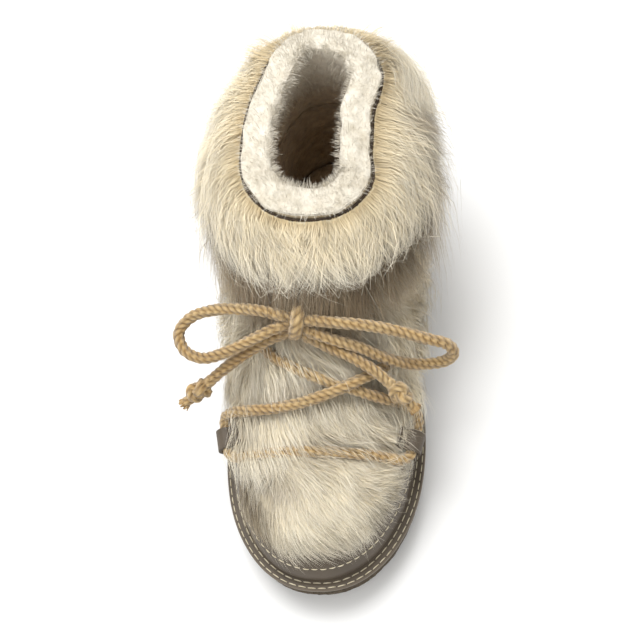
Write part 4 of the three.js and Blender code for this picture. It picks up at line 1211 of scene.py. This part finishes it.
def felt(angle, level, lift, seed, closed_across=False, tone=0.4):
    """The undercoat under a tier: a lumpy sheet over a grid of angles and levels, greyed like the hairs' roots
    as painted shade for the depth under the hair.
    """
    _, up, out, _, _ = skin_axes(angle, level)
    points = off(angle, level, lift) + out * (0.0006 * noise(off(angle, level, lift), 0.004, seed))[..., None]
    rows, across = points.shape[:2]
    root = points.reshape(-1, 3)
    values = {
        "along": 0.34 + 0.18 * noise(points, 0.003, seed + 1),
        "vary": 0.4 + 0.4 * noise(points, 0.002, seed + 2),
        "tone": np.full(len(root), tone),
        "brown": np.zeros(len(root)),
        "normal": unit(out + 0.6 * up).reshape(-1, 3),
    }
    return root, [grid_faces(rows, across, closed_across=closed_across)], values


def panel(across, up, border, thick, seed, place):
    """The undercoat of a panel that thins at its border: place gives its angles in degrees and its levels."""
    s, u = np.meshgrid(np.linspace(0, 1, across), np.linspace(0, 1, up))
    turn, level = place(s, u)
    edge = np.minimum(1, np.minimum(np.minimum(s, 1 - s), np.minimum(u, 1 - u)) / border)
    return felt(np.radians(turn), level, -0.001 + thick * np.sqrt(edge), seed)


def from_toe(a):
    """Degrees away from the toe, on either side."""
    return np.abs(np.degrees(a) - 180)


def in_front(a):
    return smooth(0.2, 0.9, -np.cos(a))


CUFF_HAIRS = 26000  # in each of its two layers
CUFF = {"inside": lambda a, l: 1 + 0.8 * smooth(10.3, 10.6, l), "low": 8.5, "high": 10.98}
# Brown patches of the cuff: angle, level, radius and strength
CUFF_BROWN = ((78, 9.9, 0.011, 0.95), (104, 9.3, 0.011, 0.9), (118, 8.9, 0.010, 0.55))


def cuff_flow(a, l, root):
    """Down the boot, fanned out from the partings at the sides, and swept forward on the medial side."""
    sweep = 0.35 * np.sin(a - np.radians(10)) * smooth(9, 10.4, l)
    swath = np.exp(-(((np.degrees(a) % 360 - 48) / 26) ** 2)) * smooth(9.2, 10, l)
    return sweep + 1.0 * swath, -1 + 1.12 * swath


def cuff_held(a, l):
    """Pressed under the wrap only beside the knot, where the wrap comes out of the cuff's fringe."""
    return 0.95 * smooth(118, 128, np.degrees(a)) * (1 - smooth(166, 172, np.degrees(a)))


def cuff_base(a, l):
    """Outside the collar's dark edge."""
    return (LAYER_GAP + BINDING_THICKNESS + 0.0002) * smooth(10.3, 10.45, l)


def cuff_length(a, l, root):
    """Longest in the fringe in front, and short at the collar."""
    fringe = in_front(a) * (1 - smooth(8.9, 9.7, l))
    return 0.034 + 0.007 * noise(root, 0.02, 61) - 0.013 * smooth(9.9, 10.95, l) + 0.018 * fringe


def cuff_rise(a, l, root):
    """Fullest at the sides, more so on the medial one, and flat at the collar."""
    full = 0.0215 + 0.0045 * np.abs(np.sin(a)) + 0.003 * np.clip(np.sin(a), 0, 1)
    return full + 0.002 * smooth(8.6, 9.6, l) - 0.016 * smooth(9.9, 10.9, l)


def cuff_tone_and_fringe_shade(a, l, root):
    """Cream at the collar and grey low down, most of all in front: painted shade on the underside of the
    cuff's overhang.
    """
    low = 1 - smooth(9.0, 9.8, l)
    return 0.02 + low * (0.3 + 0.65 * in_front(a)) + 0.14 * noise(root, 0.03, 62)


# The cuff's undercoat from its foot up: level and height over the hide
CUFF_FELT = (
    (8.5, -0.001), (8.56, 0.006), (8.75, 0.009), (9.1, 0.011), (9.6, 0.010), (10.1, 0.007), (10.4, 0.0045),
    (10.7, 0.003), (10.92, 0.0024),
)


def cuff_shell():
    levels, lifts = np.array(CUFF_FELT).T
    a, l = np.meshgrid(turns(120), levels)
    return felt(a, l, np.broadcast_to(lifts[:, None], a.shape), 71, True, 0.15)


def cuff_brown_and_fringe_shade(a, l, root):
    """Brown roots at the partings, and painted shade in brown all along the fringe in front, under the
    overhang.
    """
    return 0.8 * patch(root, CUFF_BROWN) + 0.9 * in_front(a) * (1 - smooth(8.8, 9.5, l))


# Tufts that stand up behind the collar: angle, level, spread in degrees,
# way around, way up, length, rise, tone and hairs
TUFT_NAMES = ("angle", "level", "spread", "around", "up", "length", "rise", "tone", "hairs")
CUFF_TUFTS = (
    (322, 10.4, 13, -0.30, 0.12, 0.030, 0.021, 0.10, 380),
    (345, 10.5, 10, 0.10, 0.16, 0.017, 0.012, 0.05, 160),
    (34, 10.4, 15, 0.35, 0.10, 0.026, 0.018, 0.20, 300),
    (296, 10.1, 13, -0.20, 0.05, 0.024, 0.020, 0.10, 240),
)


def tufts():
    """Long hairs that stand up and out behind the collar."""
    rng = np.random.default_rng(180)
    parts = []
    for row in CUFF_TUFTS:
        tuft = dict(zip(TUFT_NAMES, row))
        count = tuft["hairs"]
        angle = np.radians(tuft["angle"] + tuft["spread"] * rng.normal(size=count) * 0.5)
        levels = tuft["level"] + rng.uniform(-0.8, 0.6, count)
        base = cuff_base(angle, levels)
        long = tuft["length"] * rng.uniform(0.65, 1.3, count)
        rise = tuft["rise"] * rng.uniform(0.6, 1.3, count)
        flow = lambda a, l: (np.full_like(a, tuft["around"]), np.full_like(a, tuft["up"]))
        paths, facing = comb(angle, levels, long, base, base + rise, 0.35, flow, 5)
        paths, lock = gathered(paths, 30, rng.uniform(0.1, 0.6, count), rng, 0.4)
        points, faces, along, normals = ribbons(paths, np.full(count, 0.0002), rng, facing, 0.3 * lock)
        each = len(points) // count
        tone = np.clip(tuft["tone"] + rng.uniform(-0.15, 0.15, count), 0, 1)
        values = {"along": along, "vary": np.repeat(rng.uniform(0.3, 1, count), each), "normal": normals}
        parts.append((points, faces, values | {"tone": np.repeat(tone, each), "brown": 0 * along}))
    points, faces, values = joined(parts)
    make("cuff_tufts", points, faces, FUR, values, ("fur_cuff",))


def cuff():
    shared = dict(length=cuff_length, rise=cuff_rise, flow=cuff_flow, tone=cuff_tone_and_fringe_shade, base=cuff_base,
                  brown=cuff_brown_and_fringe_shade, settle=0, tipped=0.35, held=cuff_held, over=0)
    fur("cuff_fur_outer", "fur_cuff", 100, CUFF_HAIRS, CUFF, shell=cuff_shell(), **shared)
    fur("cuff_fur_inner", "fur_cuff", 140, CUFF_HAIRS, CUFF, **shared)
    tufts()


QUARTER_HAIRS = 12500
QUARTER_EDGE = (128, 151)  # where a quarter ends in front, in degrees from the heel, low down and high up
QUARTER_LEVELS = (3.12, 7.6)


def quarter_inside(side):
    def inside(a, l):
        turn = np.degrees(a) if side > 0 else 360 - np.degrees(a)
        front = np.interp(l, QUARTER_LEVELS, QUARTER_EDGE)
        return ((turn > -2) & (turn < front)).astype(float)

    return inside


def quarter_flow(a, l, root):
    """Down and back towards the heel."""
    side = np.sign(np.sin(a))
    front = smooth(95, 140, np.degrees(np.where(side > 0, a, 2 * np.pi - a)))
    return -0.32 * side * (1 - 0.4 * front), -np.ones_like(a)


def quarter_rise(a, l, root):
    """Deep at the sides and heel, thin where it meets the tongue."""
    front = smooth(100, 128, np.degrees(np.pi - np.abs(a - np.pi)))
    return (0.0095 + 0.0085 * smooth(3.4, 4.8, l) + 0.003 * noise(root, 0.02, 63)) * (1 - 0.3 * front)


def quarter_tone_and_fringe_shadow(a, l, root):
    """Pale, with darker hair low down, and painted shadow in front under the cuff's fringe."""
    # fringe: painted shadow cast by the cuff's fringe
    fringe = smooth(6.3, 7.4, l) * smooth(0.3, 0.85, -np.cos(a))
    return 0.16 + 0.2 * (1 - smooth(3.2, 4.2, l)) + 0.5 * fringe + 0.24 * noise(root, 0.03, 64)


def quarter_shell(side):
    def place(s, u):
        level = QUARTER_LEVELS[0] + (QUARTER_LEVELS[1] - QUARTER_LEVELS[0]) * u
        turn = s * np.interp(level, QUARTER_LEVELS, QUARTER_EDGE)
        return (turn if side > 0 else 360 - turn), level

    points, faces, values = panel(60, 26, 0.12, 0.0065, 75, place)
    return points, [f if side > 0 else f[:, ::-1] for f in faces], values


def quarter_length(a, l, root):
    return 0.030 + 0.005 * noise(root, 0.02, 62) - 0.006 * (1 - smooth(3.1, 4, l))


def quarters():
    low, high = QUARTER_LEVELS
    for name, side, seed, turn in (("medial", 1, 200, (0, 160)), ("lateral", -1, 240, (200, 360))):
        area = {"inside": quarter_inside(side), "low": low, "high": high, "turn": turn}
        fur("quarter_fur_" + name, "fur_quarter_" + name, seed, QUARTER_HAIRS, area, quarter_length,
            quarter_rise, quarter_flow, quarter_tone_and_fringe_shadow, held=0.85, width=0.00027, shell=quarter_shell(side))


TONGUE_HAIRS = 14000
TONGUE_DISTANCE = 0.0635
TONGUE_TOP = 7.6


def tongue_inside(a, l):
    y = skin(a, l)[..., 1]
    half = np.interp(l, (3.8, 7.4), (50, 36))
    return ((y > y_behind_toe(TONGUE_DISTANCE)) & (from_toe(a) < half)).astype(float)


def tongue_flow(a, l, root):
    """Down the instep and over towards the medial side."""
    return -0.45 + 0 * a, -np.ones_like(a)


def tongue_place(s, u):
    turn = 180 + (48 - 13 * u) * (2 * s - 1)
    low = np.interp(np.abs(turn - 180), (0, 20, 43, 48), (4.85, 4.6, 3.75, 3.5))
    return turn, low + (TONGUE_TOP - low) * u


def tongue_tone_and_fringe_shadow(a, l, root):
    """Pale, with darker hair at its sides, and painted shadow above the knot, under the cuff's fringe."""
    sides = smooth(20, 44, from_toe(a))
    return 0.1 + 0.2 * sides + 0.5 * smooth(6.5, 7.3, l) + 0.22 * noise(root, 0.02, 67)


def tongue():
    area = {"inside": tongue_inside, "low": 3.6, "high": TONGUE_TOP, "turn": (130, 230)}
    fur("tongue_fur", "fur_tongue", 300, TONGUE_HAIRS, area, width=0.00027, steps=4,
        length=lambda a, l, root: 0.025 + 0.005 * noise(root, 0.014, 65),
        rise=lambda a, l, root: 0.0085 + 0.0035 * noise(root, 0.012, 66) + 0.003 * smooth(5, 6.5, l),
        flow=tongue_flow, held=0.78, tone=tongue_tone_and_fringe_shadow,
        brown=lambda a, l, root: patch(root, ((196, 5.9, 0.010, 0.35), (186, 5.0, 0.008, 0.25))),
        shell=panel(40, 26, 0.15, 0.0035, 79, tongue_place))


VAMP_HAIRS = 19500
VAMP_DISTANCE = 0.0625
WHORL = (196, 3.95)  # where the vamp's hair turns, towards the lateral side


def vamp_inside(a, l):
    y = skin(a, l)[..., 1]
    return ((y < y_behind_toe(VAMP_DISTANCE)) & (from_toe(a) < 52)).astype(float)


def vamp_flow(a, l, root):
    """Away from the whorl, forward and over towards the medial side."""
    around = (a - np.radians(WHORL[0])) / 0.22
    up = (l - WHORL[1]) / 0.55
    near = np.exp(-(around**2 + up**2) / 2.5)
    fa = -0.50 + near * (1.5 * around - 0.6 * up)
    fu = -0.9 + near * (1.5 * up + 0.9 * around)
    size = np.maximum(np.hypot(fa, fu), 0.3)
    return fa / size, fu / size


def vamp_place(s, u):
    turn = 180 + 41 * (2 * s - 1)
    high = np.interp(np.abs(turn - 180), (0, 18, 38, 41), (4.5, 4.26, 3.36, 3.2))
    return turn, 3.03 + (high - 3.03) * u


def vamp_tone(a, l, root):
    """Cream in the middle, grey at the front edge and at the sides, most of all on the lateral one."""
    side = smooth(16, 38, np.abs(np.degrees(a) - 176)) * np.where(a > np.pi, 1.9, 0.45)
    return 0.4 * side + 0.45 * (1 - smooth(3.05, 3.4, l))


def vamp_length(a, l, root):
    return 0.023 + 0.005 * noise(root, 0.01, 68) - 0.008 * patch(root, ((*WHORL, 0.009, 1),))


def vamp():
    area = {"inside": vamp_inside, "low": 2.92, "high": 4.7, "turn": (126, 234)}
    fur("vamp_fur", "fur_vamp", 400, VAMP_HAIRS, area, width=0.00025, steps=4, settle=0.3, ragged=0.3,
        length=vamp_length,
        rise=lambda a, l, root: 0.0065 + 0.0025 * noise(root, 0.012, 69) + 0.002 * smooth(3.4, 4, l),
        flow=vamp_flow, tone=vamp_tone, held=0.9,
        brown=lambda a, l, root: patch(root, ((*WHORL, 0.008, 0.4),)),
        shell=panel(44, 20, 0.15, 0.0042, 83, vamp_place))


outsole()
rand()
seams()
upper()
lining()
wool_fibres()
insole()
binding()
cuff()
quarters()
tongue()
vamp()

for name in ("lace_loop_medial", "lace_loop_lateral"):
    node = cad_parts[name]
    node.data.materials.clear()
    node.data.materials.append(LEATHER)


# Floor and light

def stage():
    mesh = bpy.data.meshes.new("floor")
    mesh.from_pydata([(-3, -3, 0), (3, -3, 0), (3, 3, 0), (-3, 3, 0)], [], [(0, 1, 2, 3)])
    floor = bpy.data.objects.new("floor", mesh)
    bpy.context.scene.collection.objects.link(floor)
    finish = Finish("pale_floor", Roughness=0.9, Specular_IOR_Level=0.1)
    finish.colour(finish.ramp(finish.noise(0.3, 2), (0.3, GREY(0.84)), (0.7, GREY(0.86))))
    mesh.materials.append(finish.material)

    world = bpy.data.worlds.new("studio")
    bpy.context.scene.world = world
    world.use_nodes = True
    background = world.node_tree.nodes["Background"]
    background.inputs["Color"].default_value = (1.0, 0.99, 0.96, 1)
    background.inputs["Strength"].default_value = 0.78
    for name, place, size, power in (
        ("key", (-0.25, 0.35, 1.5), 0.9, 21),
        ("fill", (-0.7, -0.9, 1.0), 1.2, 5),
    ):
        data = bpy.data.lights.new(name, "AREA")
        data.size, data.energy = size, power
        lamp = bpy.data.objects.new(name, data)
        lamp.location = place
        lamp.rotation_mode = "QUATERNION"
        lamp.rotation_quaternion = (Vector((0, 0, 0.06)) - Vector(place)).to_track_quat("-Z", "Y")
        bpy.context.scene.collection.objects.link(lamp)
    bpy.context.scene.view_settings.view_transform = "Standard"


stage()
